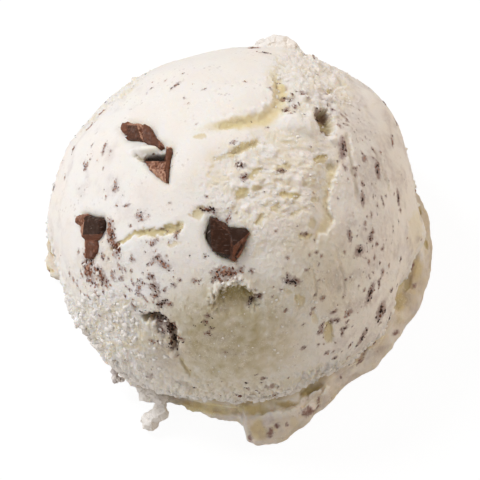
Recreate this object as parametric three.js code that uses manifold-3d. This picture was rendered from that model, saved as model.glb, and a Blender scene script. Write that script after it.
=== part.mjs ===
// A scoop of chocolate-chip ice cream: a dome pressed by a round scoop, whose ragged lower edge
// overhangs a thin skirt of squeezed-out ice cream, with dark chocolate chunks set into it and
// small chocolate flecks frozen to its surface.
//
// Millimetres, +Z up. The origin is the middle of the flat base, and the front is towards -Y.
// Places on the dome are given as seen from the front and above: "right" and "up" are offsets
// from the dome's middle, in the plane square to a line of sight VIEW_ELEVATION above level.

import * as THREE from "three";
import { ImprovedNoise } from "three/addons/math/ImprovedNoise.js";
import { mergeVertices } from "three/addons/utils/BufferGeometryUtils.js";
import Module from "manifold-3d";

// ---------------------------------------------------------------------------- driving sizes

const DOME_RADIUS = 28.8;
const DOME_CENTRE_HEIGHT = 14;
const DOME_AXIS = [-1.67, 1.78];
const VIEW_ELEVATION = 65;

const RIM_POLAR = 104;
const RIM_WAVE = 1.6;
const FLARE_FROM_POLAR = 74;
const FLARE_FULL_POLAR = 97;

const LIP_DROP = 0.9;
const LIP_TUCK = 0.7;
const GROOVE_DEPTH = 1.8;
const GROOVE_SHALLOWER_RIGHT = 0.7;
const GROOVE_DROP = 1.7;
const SKIRT_ROOT_HEIGHT = 4.7;
const SKIRT_SHOULDER_HEIGHT = 3.6;
const SKIRT_SHOULDER_INSET = 1.4;
const SKIRT_EDGE_HEIGHT = 1.9;
const SKIRT_FOOT_INSET = 0.9;
const SKIRT_WAVE = 0.25;
const SKIRT_THICKER_RIGHT = 0.26;
const SKIRT_UNEVEN = 0.12;

const SEGMENTS = 80;
const DOME_RINGS = 27;
const LUMP_DETAIL = 1;
const HOLLOW_DETAIL = 1;

const CHUNK_GAP = 0.3;
const CHUNK_BEVEL = 0.25;
const FLECK_COUNT = 34;
const FLECK_SINK = 0.45;
const RIM_CRUMB_COUNT = 18;
const MERGE_TOLERANCE = 1e-4;

// Reach of the dome's ragged lower edge from the dome's axis, as [azimuth, radius].
const RIM_REACH = [
  [-165, 27.6], [-151, 28.0], [-140, 28.0], [-125, 29.1], [-118, 28.9], [-105, 28.3],
  [-90, 28.3], [-76, 28.6], [-60, 28.3], [-43, 28.8], [-36, 29.3], [-30, 29.0],
  [-20, 28.1], [-9, 29.3], [-2, 30.8], [7, 29.6], [18, 30.0], [38, 30.8],
  [60, 30.0], [90, 29.0], [120, 28.5], [150, 28.3], [180, 28.4],
];

// Reach of the skirt's outer edge from the dome's axis, as [azimuth, radius]. The tongue
// between -70 and -84 ends in one straight torn side.
const SKIRT_REACH = [
  [-169, 27.3], [-150, 27.2], [-136, 27.6], [-123, 27.8], [-118, 29.3], [-109, 27.8],
  [-101, 28.2], [-95, 29.0], [-88, 29.4], [-86, 30.2], [-85, 33.2], [-82, 34.1],
  [-76, 34.1], [-70, 32.7], [-62, 31.2], [-50, 29.8], [-39, 30.8], [-28, 31.0],
  [-15, 32.3], [1, 32.7], [10, 32.9], [16, 32.5], [26, 30.9], [50, 30.8],
  [75, 30.2], [100, 29.4], [130, 29.6], [150, 28.4], [160, 27.8], [167, 28.8],
  [174, 29.5], [-178, 29.9], [-174, 29.3],
];

// Broad swellings of the dome, as places on the sphere and how far they stand out.
const SWELLINGS = [
  { polar: 76, azimuth: 36, width: 12, height: 1.7 },
  { polar: 80, azimuth: 21, width: 16, height: 1.3 },
  { polar: 68, azimuth: 58, width: 22, height: 0.9 },
  { polar: 60, azimuth: -170, width: 26, height: -0.5 },
  { polar: 66, azimuth: 100, width: 22, height: -1.2 },
  { polar: 70, azimuth: 128, width: 22, height: -1.1 },
  { polar: 76, azimuth: 152, width: 16, height: -0.7 },
];

// Lumps that stand on the dome: half sizes along, across and out of the surface.
const LUMPS = [
  { right: 2.2, up: 18.8, half: [5.2, 2.9, 1.3], turn: 14 },
  { right: 11.4, up: 15.2, half: [2.8, 1.7, 1.3], turn: -12 },
  { right: -0.6, up: -9.5, half: [3.1, 0.8, 1.1], turn: 5 },
  { right: -8.0, up: -25.3, half: [1.9, 0.9, 1.1], turn: -8 },
  { right: -9.0, up: -20.8, half: [0.9, 0.8, 0.9], turn: 0 },
  { right: 7.9, up: 28.3, half: [2.3, 1.5, 1.9], turn: 0 },
  { right: 10.1, up: 28.0, half: [1.3, 1.6, 2.1], turn: 0 },
  { right: -22.9, up: -18.6, half: [1.0, 0.9, 1.0], turn: 0 },
];

// Hollows torn out of the dome: half sizes along, across and into the surface.
const HOLLOWS = [
  { right: 0.9, up: -12.5, half: [3.4, 2.1, 2.3], turn: 3 },
  { right: 2.2, up: -12.9, half: [1.5, 2.0, 2.9], turn: 20 },
  { right: -10.7, up: -14.9, half: [1.6, 1.6, 2.6], turn: 0 },
  { right: -13.2, up: -15.2, half: [1.4, 0.8, 1.4], turn: 0 },
  { right: -8.9, up: -17.9, half: [0.8, 2.6, 1.5], turn: 14 },
  { right: 14.7, up: 15.1, half: [1.4, 2.2, 2.7], turn: 17 },
  { right: 2.4, up: 15.7, half: [5.0, 0.9, 1.1], turn: 9 },
  { right: 6.6, up: 18.4, half: [0.8, 2.2, 0.9], turn: -8 },
  { right: 2.1, up: 11.9, half: [2.5, 0.8, 0.9], turn: 14 },
  { right: -12.0, up: -1.9, half: [4.2, 0.6, 0.8], turn: 8 },
  { right: -5.0, up: 0.6, half: [1.9, 1.1, 0.8], turn: 30 },
];

// Chocolate chunks that show from the front, by their outlines as seen from there.
const FRONT_CHUNKS = [
  {
    name: "chunk_left_upper",
    right: -14.1,
    up: 13.8,
    proud: 0.75,
    depth: 2.6,
    outline: [
      [-3.0, 0.7], [-2.5, 1.5], [-1.6, 1.8], [0.2, 1.5], [1.6, 1.0], [2.4, -0.5],
      [3.3, -1.6], [3.4, -2.0], [3.0, -2.3], [2.3, -1.9], [1.0, -1.5], [0.6, -1.2],
      [-1.4, -1.0], [-2.1, -0.8], [-1.6, -0.2], [-2.6, 0.1],
    ],
  },
  {
    name: "chunk_left_lower",
    right: -11.2,
    up: 8.8,
    proud: 0.6,
    depth: 3.0,
    outline: [
      [1.2, 2.7], [2.0, 2.7], [2.1, 1.9], [1.9, 0.9], [1.7, -0.7], [1.5, -2.8],
      [0.8, -2.5], [-0.3, -1.6], [-1.3, -0.7], [-1.8, 0.3], [-2.6, 1.0], [-1.9, 1.7],
      [0.3, 1.8],
    ],
  },
  {
    name: "chunk_far_left",
    right: -22.1,
    up: -2.2,
    proud: 0.55,
    depth: 3.2,
    outline: [
      [-2.3, 2.4], [-1.8, 3.1], [-1.1, 3.3], [0.4, 2.8], [1.6, 2.7], [2.0, 1.9],
      [2.0, 0.8], [1.5, -0.1], [0.9, -0.9], [1.1, -1.8], [0.8, -2.8], [0.1, -3.7],
      [-0.8, -3.6], [-1.0, -2.2], [-1.0, -0.9], [-1.5, 0.6], [-1.8, 1.5],
    ],
  },
  {
    name: "chunk_middle",
    right: -0.3,
    up: -2.7,
    proud: 0.5,
    depth: 3.6,
    outline: [
      [-2.7, 3.4], [-1.6, 2.9], [-0.5, 2.4], [0.3, 1.7], [1.7, 1.6], [2.8, 1.5],
      [3.4, 0.9], [3.1, 0.4], [2.7, -0.7], [2.5, -1.5], [2.0, -2.5], [1.1, -3.6],
      [0.3, -3.1], [-0.9, -2.8], [-2.1, -2.0], [-2.8, -1.2], [-3.5, 0.0], [-3.5, 0.7],
      [-3.2, 1.7],
    ],
  },
];

// Chocolate chunks on the sides that the front view hides, as places on the dome.
const BACK_CHUNKS = [
  { name: "chunk_back_left", polar: 94, azimuth: 116, sides: 6, reach: [3.2, 2.4], turn: 12 },
  { name: "chunk_back_middle", polar: 90, azimuth: 91, sides: 5, reach: [2.6, 2.0], turn: -8 },
  { name: "chunk_back_right", polar: 94, azimuth: 66, sides: 7, reach: [3.4, 2.4], turn: -14 },
];
const BACK_CHUNK_PROUD = 0.6;
const BACK_CHUNK_DEPTH = 3.2;
const BACK_CHUNK_UNEVEN = 0.22;

// The largest flecks that show from the front, as [right, up, half size].
const FRONT_FLECKS = [
  [-3.4, 1.9, 0.7], [-18.9, -2.1, 0.8], [-18.7, -4.6, 0.7], [-22.6, -7.4, 0.7], [-21.2, -9.0, 0.8],
  [-20.0, -8.2, 0.6], [-11.8, -10.1, 0.7], [-10.6, -12.4, 0.6], [9.6, -9.3, 0.8], [20.3, -4.6, 0.7],
  [17.8, 10.6, 0.7], [1.8, 8.6, 0.6], [-25.2, -15.0, 0.9], [11.4, 19.2, 0.6], [8.8, 17.7, 0.5],
  [22.4, -10.9, 0.8], [23.6, -13.9, 0.8], [25.4, -12.2, 0.6], [20.8, -18.1, 0.7], [-1.2, -8.2, 0.6],
  [-22.7, 15.2, 0.5], [-25.2, 11.6, 0.5], [-26.7, 7.0, 0.5], [-8.2, 21.4, 0.6], [21.4, 7.6, 0.6],
  [26.2, 2.3, 0.6], [16.4, -15.2, 0.6], [-5.4, -9.3, 0.5], [-4.0, 20.6, 0.5], [17.4, -16.5, 0.5],
];

const ICE_CREAM = new THREE.MeshStandardMaterial({ color: 0xeee6da, roughness: 0.55, metalness: 0 });
const CHOCOLATE = new THREE.MeshStandardMaterial({ color: 0x4a3024, roughness: 0.35, metalness: 0 });

// ---------------------------------------------------------------------------- small helpers

const wasm = await Module();
wasm.setup();

const noise = new ImprovedNoise();
const radians = THREE.MathUtils.degToRad;
const smoothstep = THREE.MathUtils.smoothstep;

// A draw between 0 and 1 that depends on nothing but its number.
function draw(number) {
  const wave = Math.sin(number * 12.9898 + 4.1) * 43758.5453;
  return wave - Math.floor(wave);
}

// A smooth closed curve of radius against azimuth, in degrees, through the given points.
function reachAt(points, azimuth) {
  const sorted = [...points].sort((a, b) => a[0] - b[0]);
  const count = sorted.length;
  const angle = THREE.MathUtils.euclideanModulo(azimuth - sorted[0][0], 360) + sorted[0][0];
  let before = count - 1;
  while (sorted[before][0] > angle) before -= 1;
  const at = (index) => sorted[(index + count) % count];
  const start = at(before);
  const end = at(before + 1);
  const span = THREE.MathUtils.euclideanModulo(end[0] - start[0], 360);
  const part = (angle - start[0]) / span;
  return THREE.MathUtils.lerp(start[1], end[1], part * part * (3 - 2 * part));
}

// The unit direction from the dome's centre at a polar angle and an azimuth, in degrees.
function directionAt(polar, azimuth) {
  const up = radians(polar);
  const round = radians(azimuth);
  return new THREE.Vector3(
    Math.sin(up) * Math.cos(round),
    Math.sin(up) * Math.sin(round),
    Math.cos(up),
  );
}

// The unit direction from the dome's centre to the place seen at right and up from the front.
function directionSeen(right, up) {
  const tilt = radians(VIEW_ELEVATION);
  const flat = Math.min(Math.hypot(right, up), DOME_RADIUS * 0.9999);
  const scale = flat / Math.max(Math.hypot(right, up), 1e-9);
  const towards = Math.sqrt(DOME_RADIUS ** 2 - flat ** 2);
  return new THREE.Vector3(
    right * scale,
    up * scale * Math.sin(tilt) - towards * Math.cos(tilt),
    up * scale * Math.cos(tilt) + towards * Math.sin(tilt),
  ).normalize();
}

// ---------------------------------------------------------------------------- the main form

// The dome's radius along a unit direction: a sphere with broad swellings, a flare towards the
// rim that carries it out to RIM_REACH, and the unevenness of packed ice cream.
function domeRadius(direction, rimPolar) {
  const polar = THREE.MathUtils.radToDeg(Math.acos(direction.z));
  const azimuth = THREE.MathUtils.radToDeg(Math.atan2(direction.y, direction.x));
  let radius = DOME_RADIUS;
  for (const swelling of SWELLINGS) {
    const apart = direction.angleTo(directionAt(swelling.polar, swelling.azimuth));
    radius += swelling.height * Math.exp(-((apart / radians(swelling.width)) ** 2));
  }
  const rimRadius = reachAt(RIM_REACH, azimuth) / Math.sin(radians(rimPolar));
  const flare = smoothstep(polar, FLARE_FROM_POLAR, FLARE_FULL_POLAR);
  radius = THREE.MathUtils.lerp(radius, Math.max(rimRadius, radius - 0.5), flare);
  const broad = noise.noise(direction.x * 3.1, direction.y * 3.1, direction.z * 3.1);
  const close = noise.noise(direction.x * 8.3, direction.y * 8.3, direction.z * 8.3);
  return radius + 0.35 * broad + 0.2 * close;
}

// The polar angle at which the dome ends in its ragged edge.
function rimPolarAt(azimuth) {
  const round = radians(azimuth);
  const wave = Math.sin(3 * round + 0.8) + 0.7 * Math.sin(7 * round + 2.1);
  return RIM_POLAR + RIM_WAVE * (wave + 0.5 * Math.sin(19 * round));
}

function skirtReachAt(azimuth) {
  const round = radians(azimuth);
  const wave = Math.sin(23 * round + 1.3) + 0.6 * Math.sin(41 * round);
  return reachAt(SKIRT_REACH, azimuth) + SKIRT_WAVE * wave;
}

// How thick the skirt is against its middling thickness: thicker on the right, and lumpy.
function skirtThickness(azimuth) {
  const round = radians(azimuth);
  const lumpy = Math.sin(5 * round + 1) + 0.7 * Math.sin(12 * round + 2.2);
  return 1 + SKIRT_THICKER_RIGHT * Math.cos(round) + SKIRT_UNEVEN * lumpy;
}

// The profile below the rim, as [radius, height] from the rim's underside to the base's middle.
function profileBelowRim(azimuth, rimRadius, rimHeight) {
  const skirtRadius = skirtReachAt(azimuth);
  const thickness = skirtThickness(azimuth);
  const shallower = GROOVE_SHALLOWER_RIGHT * Math.cos(radians(azimuth));
  const groove = Math.min(rimRadius, skirtRadius) - GROOVE_DEPTH + shallower;
  const foot = skirtRadius - SKIRT_FOOT_INSET;
  const root = Math.min(SKIRT_ROOT_HEIGHT * thickness, rimHeight - GROOVE_DROP - 0.5);
  const shoulder = SKIRT_SHOULDER_HEIGHT * thickness;
  return [
    [rimRadius - LIP_TUCK, rimHeight - LIP_DROP],
    [groove, rimHeight - GROOVE_DROP],
    [groove + 0.4, root],
    [(groove + skirtRadius) / 2, (root + shoulder) / 2],
    [skirtRadius - SKIRT_SHOULDER_INSET, shoulder],
    [skirtRadius - SKIRT_SHOULDER_INSET / 4, (shoulder + SKIRT_EDGE_HEIGHT) / 2],
    [skirtRadius, SKIRT_EDGE_HEIGHT],
    [foot, 0],
    [(foot * 2) / 3, 0],
    [foot / 3, 0],
    [0, 0],
  ];
}

// One meridian of the whole outside, from the top of the dome to the middle of the base.
function meridian(azimuth) {
  const rimPolar = rimPolarAt(azimuth);
  const points = [];
  for (let ring = 0; ring <= DOME_RINGS; ring += 1) {
    const direction = directionAt((rimPolar * ring) / DOME_RINGS, azimuth);
    const point = direction.clone().multiplyScalar(domeRadius(direction, rimPolar));
    points.push([Math.hypot(point.x, point.y), point.z + DOME_CENTRE_HEIGHT]);
  }
  const [rimRadius, rimHeight] = points[DOME_RINGS];
  return points.concat(profileBelowRim(azimuth, rimRadius, rimHeight));
}

// The lathe gives the closed grid of rings and meridians, and each meridian gets its own form.
function mainForm() {
  const ringCount = meridian(0).length;
  const round = [];
  for (let ring = 0; ring < ringCount; ring += 1) {
    const angle = (Math.PI * (ringCount - 1 - ring)) / (ringCount - 1);
    round.push(new THREE.Vector2(ring % (ringCount - 1) ? Math.sin(angle) : 0, Math.cos(angle)));
  }
  const geometry = new THREE.LatheGeometry(round, SEGMENTS);
  const position = geometry.getAttribute("position");
  for (let segment = 0; segment <= SEGMENTS; segment += 1) {
    const azimuth = ((segment % SEGMENTS) * 360) / SEGMENTS;
    const line = meridian(azimuth).reverse();
    line.forEach(([radius, height], ring) => {
      const reach = ring % (ringCount - 1) ? radius : 0;
      const angle = radians(azimuth);
      const index = segment * ringCount + ring;
      position.setXYZ(index, reach * Math.cos(angle), reach * Math.sin(angle), height);
    });
  }
  return geometry;
}

// ---------------------------------------------------------------------------- solids

function solidOf(geometry) {
  const bare = new THREE.BufferGeometry();
  bare.setAttribute("position", geometry.getAttribute("position"));
  if (geometry.index) bare.setIndex(geometry.index);
  const merged = mergeVertices(bare, MERGE_TOLERANCE);
  const solid = new wasm.Manifold(
    new wasm.Mesh({
      numProp: 3,
      vertProperties: new Float32Array(merged.getAttribute("position").array),
      triVerts: new Uint32Array(merged.index.array),
    }),
  );
  return solid;
}

function geometryOf(solid) {
  const mesh = solid.getMesh();
  const geometry = new THREE.BufferGeometry();
  geometry.setAttribute("position", new THREE.BufferAttribute(mesh.vertProperties, 3));
  geometry.setIndex(new THREE.BufferAttribute(mesh.triVerts, 1));
  geometry.computeVertexNormals();
  return geometry;
}

// The place on the dome's surface along a direction, with the frame in which a piece lies
// there: x along the level line to the right, y up the dome and z out of it, turned about z.
function placeOn(direction, turn, lift) {
  const right = new THREE.Vector3(1, 0, 0);
  const across = right.clone().addScaledVector(direction, -right.dot(direction));
  if (across.length() < 0.35) across.set(0, 1, 0).cross(direction);
  across.normalize();
  const upwards = direction.clone().cross(across);
  const frame = new THREE.Matrix4().makeBasis(across, upwards, direction);
  const radius = domeRadius(direction, RIM_POLAR) + lift;
  const centre = direction.clone().multiplyScalar(radius);
  centre.z += DOME_CENTRE_HEIGHT;
  frame.setPosition(centre);
  return frame.multiply(new THREE.Matrix4().makeRotationZ(radians(turn)));
}

// A rounded lump or hollow with the given half sizes, its middle on the dome's surface.
function ellipsoidOn(direction, half, turn, detail) {
  const geometry = new THREE.IcosahedronGeometry(1, detail);
  geometry.scale(...half);
  geometry.applyMatrix4(placeOn(direction, turn, 0));
  return solidOf(geometry);
}

// ---------------------------------------------------------------------------- chunks

// The outline seen from the front, laid on the tangent plane at a direction along the line of
// sight, so that it still looks the same from the front.
function outlineOnDome(outline, direction) {
  const tilt = radians(VIEW_ELEVATION);
  const seenRight = new THREE.Vector3(1, 0, 0);
  const seenUp = new THREE.Vector3(0, Math.sin(tilt), Math.cos(tilt));
  const across = new THREE.Vector3();
  const upwards = new THREE.Vector3();
  const out = new THREE.Vector3();
  placeOn(direction, 0, 0).extractBasis(across, upwards, out);
  const a = across.dot(seenRight);
  const b = upwards.dot(seenRight);
  const c = across.dot(seenUp);
  const d = upwards.dot(seenUp);
  const size = a * d - b * c;
  return outline.map(
    ([right, up]) => new THREE.Vector2((d * right - b * up) / size, (a * up - c * right) / size),
  );
}

// An uneven polygon for a chunk that the front view hides.
function brokenOutline(sides, reach, number) {
  const points = [];
  for (let side = 0; side < sides; side += 1) {
    const angle = (2 * Math.PI * side) / sides;
    const uneven = 1 + BACK_CHUNK_UNEVEN * (2 * draw(number * 31 + side) - 1);
    points.push(
      new THREE.Vector2(reach[0] * Math.cos(angle), reach[1] * Math.sin(angle)).multiplyScalar(uneven),
    );
  }
  return points;
}

// A chunk is its outline as a slab with broken edges, its top "proud" above the ice cream.
// grow enlarges it all round, which makes the socket that it sits in.
function chunkSolid(points, direction, turn, proud, depth, grow) {
  const geometry = new THREE.ExtrudeGeometry(new THREE.Shape(points), {
    depth: depth - 2 * CHUNK_BEVEL,
    bevelEnabled: true,
    bevelThickness: CHUNK_BEVEL + grow,
    bevelSize: CHUNK_BEVEL + grow,
    bevelOffset: -CHUNK_BEVEL,
    bevelSegments: 1,
  });
  geometry.translate(0, 0, CHUNK_BEVEL - depth + proud);
  geometry.applyMatrix4(placeOn(direction, turn, 0));
  geometry.deleteAttribute("normal");
  geometry.deleteAttribute("uv");
  return solidOf(geometry);
}

function allChunks() {
  const front = FRONT_CHUNKS.map((chunk) => {
    const direction = directionSeen(chunk.right, chunk.up);
    const points = outlineOnDome(chunk.outline, direction);
    return { name: chunk.name, points, direction, turn: 0, proud: chunk.proud, depth: chunk.depth };
  });
  const back = BACK_CHUNKS.map((chunk, number) => ({
    name: chunk.name,
    points: brokenOutline(chunk.sides, chunk.reach, number + 1),
    direction: directionAt(chunk.polar, chunk.azimuth),
    turn: chunk.turn,
    proud: BACK_CHUNK_PROUD,
    depth: BACK_CHUNK_DEPTH,
  }));
  return [...front, ...back];
}

// ---------------------------------------------------------------------------- flecks, crumbs

// A splinter of chocolate lying in the surface, or a crumb of ice cream.
function splinterOn(direction, size, number, sink) {
  const geometry = new THREE.OctahedronGeometry(1, 0);
  const long = size * (1 + 0.8 * draw(number + 0.3));
  geometry.scale(long, size * (0.7 + 0.3 * draw(number + 0.6)), size * 0.8);
  geometry.applyMatrix4(placeOn(direction, 360 * draw(number + 0.9), size * (0.35 - sink)));
  return solidOf(geometry);
}

function clearOfChunks(direction, chunks, size) {
  return chunks.every((chunk) => {
    const widest = Math.max(...chunk.points.map((point) => point.length()));
    const apart = direction.angleTo(chunk.direction) * DOME_RADIUS;
    return apart > widest + size * 2 + CHUNK_GAP;
  });
}

// The named flecks, then more over the whole dome along a golden-angle spiral.
function fleckPlaces() {
  const places = FRONT_FLECKS.map(([right, up, size]) => ({
    direction: directionSeen(right, up),
    size,
  }));
  const golden = Math.PI * (3 - Math.sqrt(5));
  for (let number = 0; number < FLECK_COUNT; number += 1) {
    const height = 1 - (1.18 * (number + 0.5 + 0.8 * draw(number + 100))) / FLECK_COUNT;
    const polar = THREE.MathUtils.radToDeg(Math.acos(Math.max(height, -0.18)));
    const azimuth = THREE.MathUtils.radToDeg(golden * number + 0.9 * draw(number + 200));
    places.push({ direction: directionAt(polar, azimuth), size: 0.42 + 0.3 * draw(number + 300) });
  }
  return places;
}

function rimCrumbs() {
  const crumbs = [];
  for (let number = 0; number < RIM_CRUMB_COUNT; number += 1) {
    const azimuth = (360 * (number + draw(number + 400))) / RIM_CRUMB_COUNT;
    const polar = rimPolarAt(azimuth) - 3 - 5 * draw(number + 500);
    crumbs.push({ direction: directionAt(polar, azimuth), size: 0.6 + 0.5 * draw(number + 600) });
  }
  return crumbs;
}

// ---------------------------------------------------------------------------- ice cream

// The two round blobs hanging at the front left from their stalk, crumbs beside them and a lump
// on the tongue, as [azimuth, radius from the axis, height, half size].
const HANGING_BLOBS = [
  [-112.3, 29.2, 4.6, 1.4], [-111.7, 30.8, 3.0, 1.6], [-113.2, 32.3, 1.7, 1.7],
  [-117.5, 29.3, 4.4, 1.2], [-128.4, 29.6, 4.0, 1.1], [-73, 33.2, 3.4, 1.0],
];

function hangingBlob([azimuth, reach, height, size]) {
  const geometry = new THREE.IcosahedronGeometry(size, 1);
  const angle = radians(azimuth);
  geometry.translate(reach * Math.cos(angle), reach * Math.sin(angle), height);
  return solidOf(geometry);
}

function iceCreamSolid(chunks) {
  const added = [
    ...LUMPS.map((lump) =>
      ellipsoidOn(directionSeen(lump.right, lump.up), lump.half, lump.turn, LUMP_DETAIL),
    ),
    ...HANGING_BLOBS.map(hangingBlob),
  ];
  let solid = added.reduce((all, lump) => all.add(lump), solidOf(mainForm()));
  for (const hollow of HOLLOWS) {
    const direction = directionSeen(hollow.right, hollow.up);
    solid = solid.subtract(ellipsoidOn(direction, hollow.half, hollow.turn, HOLLOW_DETAIL));
  }
  [...fleckPlaces(), ...rimCrumbs()].forEach(({ direction, size }, number) => {
    if (clearOfChunks(direction, chunks, size)) {
      solid = solid.add(splinterOn(direction, size, number, FLECK_SINK));
    }
  });
  for (const { points, direction, turn, proud, depth } of chunks) {
    solid = solid.subtract(chunkSolid(points, direction, turn, proud, depth, CHUNK_GAP));
  }
  const pieces = solid.decompose();
  return pieces.reduce((most, piece) => (piece.volume() > most.volume() ? piece : most));
}

// ---------------------------------------------------------------------------- the scoop

function namedMesh(name, solid, material) {
  const mesh = new THREE.Mesh(geometryOf(solid), material);
  mesh.name = name;
  mesh.position.set(DOME_AXIS[0], DOME_AXIS[1], 0);
  return mesh;
}

const chunks = allChunks();
const group = new THREE.Group();
group.add(namedMesh("ice_cream", iceCreamSolid(chunks), ICE_CREAM));
for (const { name, points, direction, turn, proud, depth } of chunks) {
  group.add(namedMesh(name, chunkSolid(points, direction, turn, proud, depth, 0), CHOCOLATE));
}

export default group;
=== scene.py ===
"""A scoop of chocolate-chip ice cream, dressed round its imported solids.

The dome, the skirt, the chunks of chocolate, the flecks and the crumbs are surfaces worked out
with numpy. Lengths in the functions are millimetres from the middle of the dome's sphere, +Z up
and the front towards -Y. "right" and "up" are offsets seen from the front and above, in the
plane square to the camera's line of sight.
"""

import itertools
import math

import bpy
import numpy as np
from mathutils import Matrix, Vector


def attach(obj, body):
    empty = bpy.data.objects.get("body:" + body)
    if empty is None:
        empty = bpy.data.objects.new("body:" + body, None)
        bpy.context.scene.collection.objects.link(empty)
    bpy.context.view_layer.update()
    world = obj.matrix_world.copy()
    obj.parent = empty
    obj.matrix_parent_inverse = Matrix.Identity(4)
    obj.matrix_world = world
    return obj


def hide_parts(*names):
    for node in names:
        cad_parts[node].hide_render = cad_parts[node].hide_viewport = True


bl_info = {
    "name": "Ice cream scoop",
    "version": (1, 0, 0),
    "blender": (4, 5, 0),
    "location": "3D View > Sidebar > Ice cream",
    "description": "Builds a scoop of chocolate-chip ice cream round its packed solids",
    "category": "Add Mesh",
}

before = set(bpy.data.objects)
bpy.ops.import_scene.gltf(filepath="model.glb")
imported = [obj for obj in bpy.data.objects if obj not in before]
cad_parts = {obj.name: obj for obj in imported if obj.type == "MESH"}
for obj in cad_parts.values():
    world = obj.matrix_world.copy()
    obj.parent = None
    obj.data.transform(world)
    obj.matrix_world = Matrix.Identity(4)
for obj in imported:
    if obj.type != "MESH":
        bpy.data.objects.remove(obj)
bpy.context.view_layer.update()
BODY = "root"
MM = 0.001
LOWEST = 0.02
STAIN_SPREAD = 2.3
MOST_TRIANGLES = 198000

# The grids: how far the dome's knots crowd to the front and how much of its disk lies over the
# rim, the knots along a side of a chunk's grid, and the skirt's columns round and rows across.
FRONT_SHIFT = 0.14
RIM_PART = 0.955
CHUNK_KNOTS = 150
SKIRT_COLUMNS = 900
SKIRT_ROWS = 104

# ---- the main form
# The same driving sizes as the solids have, in millimetres and degrees.

DOME_AXIS = (-1.67, 1.78)
FLARE_POLAR = (74, 97)
RIM_WAVE = 1.6
GROOVE_DEPTH = 1.8
GROOVE_SHALLOWER_RIGHT = 0.7
SKIRT_ROOT_HEIGHT = 4.7
SKIRT_SHOULDER_HEIGHT = 3.6
SKIRT_SHOULDER_INSET = 1.4
SKIRT_EDGE_HEIGHT = 1.9
SKIRT_FOOT_INSET = 0.9
SKIRT_THICKER_RIGHT = 0.26
SKIRT_UNEVEN = 0.12

# Reach of the dome's ragged lower edge from its axis, as (azimuth, radius).
RIM_REACH = (
    (-165, 27.6), (-151, 28), (-140, 28), (-125, 29.1), (-118, 28.9), (-105, 28.3),
    (-90, 28.3), (-76, 28.6), (-60, 28.3), (-43, 28.8), (-36, 29.3), (-30, 29),
    (-20, 28.1), (-9, 29.3), (-2, 30.8), (7, 29.6), (18, 30), (38, 30.8),
    (60, 30), (90, 29), (120, 28.5), (150, 28.3), (180, 28.4),
)

# Reach of the skirt's outer edge from the dome's axis, as (azimuth, radius).
SKIRT_REACH = (
    (-171, 27.3), (-150, 27.2), (-136, 27.6), (-123, 27.8), (-118, 29.3), (-109, 27.8),
    (-101, 28.2), (-95, 29), (-88, 29.4), (-86, 30.2), (-85, 33.2), (-82, 34.1),
    (-76, 34.1), (-70, 32.7), (-62, 31.2), (-50, 29.8), (-39, 30.8), (-28, 31),
    (-15, 32.3), (1, 32.7), (10, 32.9), (16, 32.5), (26, 30.9), (50, 30.8),
    (75, 30.2), (100, 29.4), (130, 29.6), (150, 28.4), (160, 27.8), (167, 28.8),
    (174, 29.5), (-178, 29.9), (-172.5, 29.4),
)

# Broad swellings of the dome, as (polar, azimuth, width in degrees, height).
SWELLINGS = (
    (76, 36, 12, 1.7), (80, 21, 16, 1.3), (68, 58, 22, 0.9), (60, -170, 26, -0.5),
    (66, 100, 22, -1.2), (70, 128, 22, -1.1), (76, 152, 16, -0.7),
)

# ---- relief, as seen

# Where the ice cream is torn, as (right, up, half width, half height, turn, strength).
ROUGH_PATCHES = (
    (6, 7, 12.5, 8, 12, 0.8), (12.5, 21.5, 7.5, 6.5, -30, 1), (5, -1, 8, 6, 0, 0.5),
    (-17, -17, 9, 6.5, -40, 0.65), (-20, -9, 6, 7, 0, 0.4), (10, -26.5, 15, 2.4, 22, 0.75),
    (16, -12, 4, 6, 0, 0.35), (3, -19, 15, 8, 5, 0.3), (9, -13, 6, 5, 0, 0.45),
    (-6, -26.5, 9, 2, -8, 0.45), (-19, 21.4, 16, 3, 42, 0.9),
)

# The lip of the big fold, walked with the lifted side on the left hand.
FOLD_EDGE = (
    (-6.4, 14.4), (-2.4, 15.2), (1.8, 16.1), (4.8, 16.8), (6.5, 18.2), (7, 20),
    (6.6, 22.4), (5.4, 24.6),
)
SECOND_FOLD = ((-1.5, 10.4), (0.6, 11), (2.6, 11.9), (4.9, 12.9))
CRATER = (0.9, -12.7, 3.6, 2.4, 3)
CRATER_BROW = (
    (-2.8, -12.4), (-2.6, -10.8), (-1.4, -9.7), (0.2, -9.6), (1.6, -9.2), (2.8, -9.9),
)
# Where the torn band ends in a crumbling edge, walked with the band on the left hand.
BAND_EDGE = ((16.8, 9.6), (16.2, 6.7), (15.6, 3.6), (15.6, 0.4), (14.2, -3), (12.6, -6))

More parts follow.
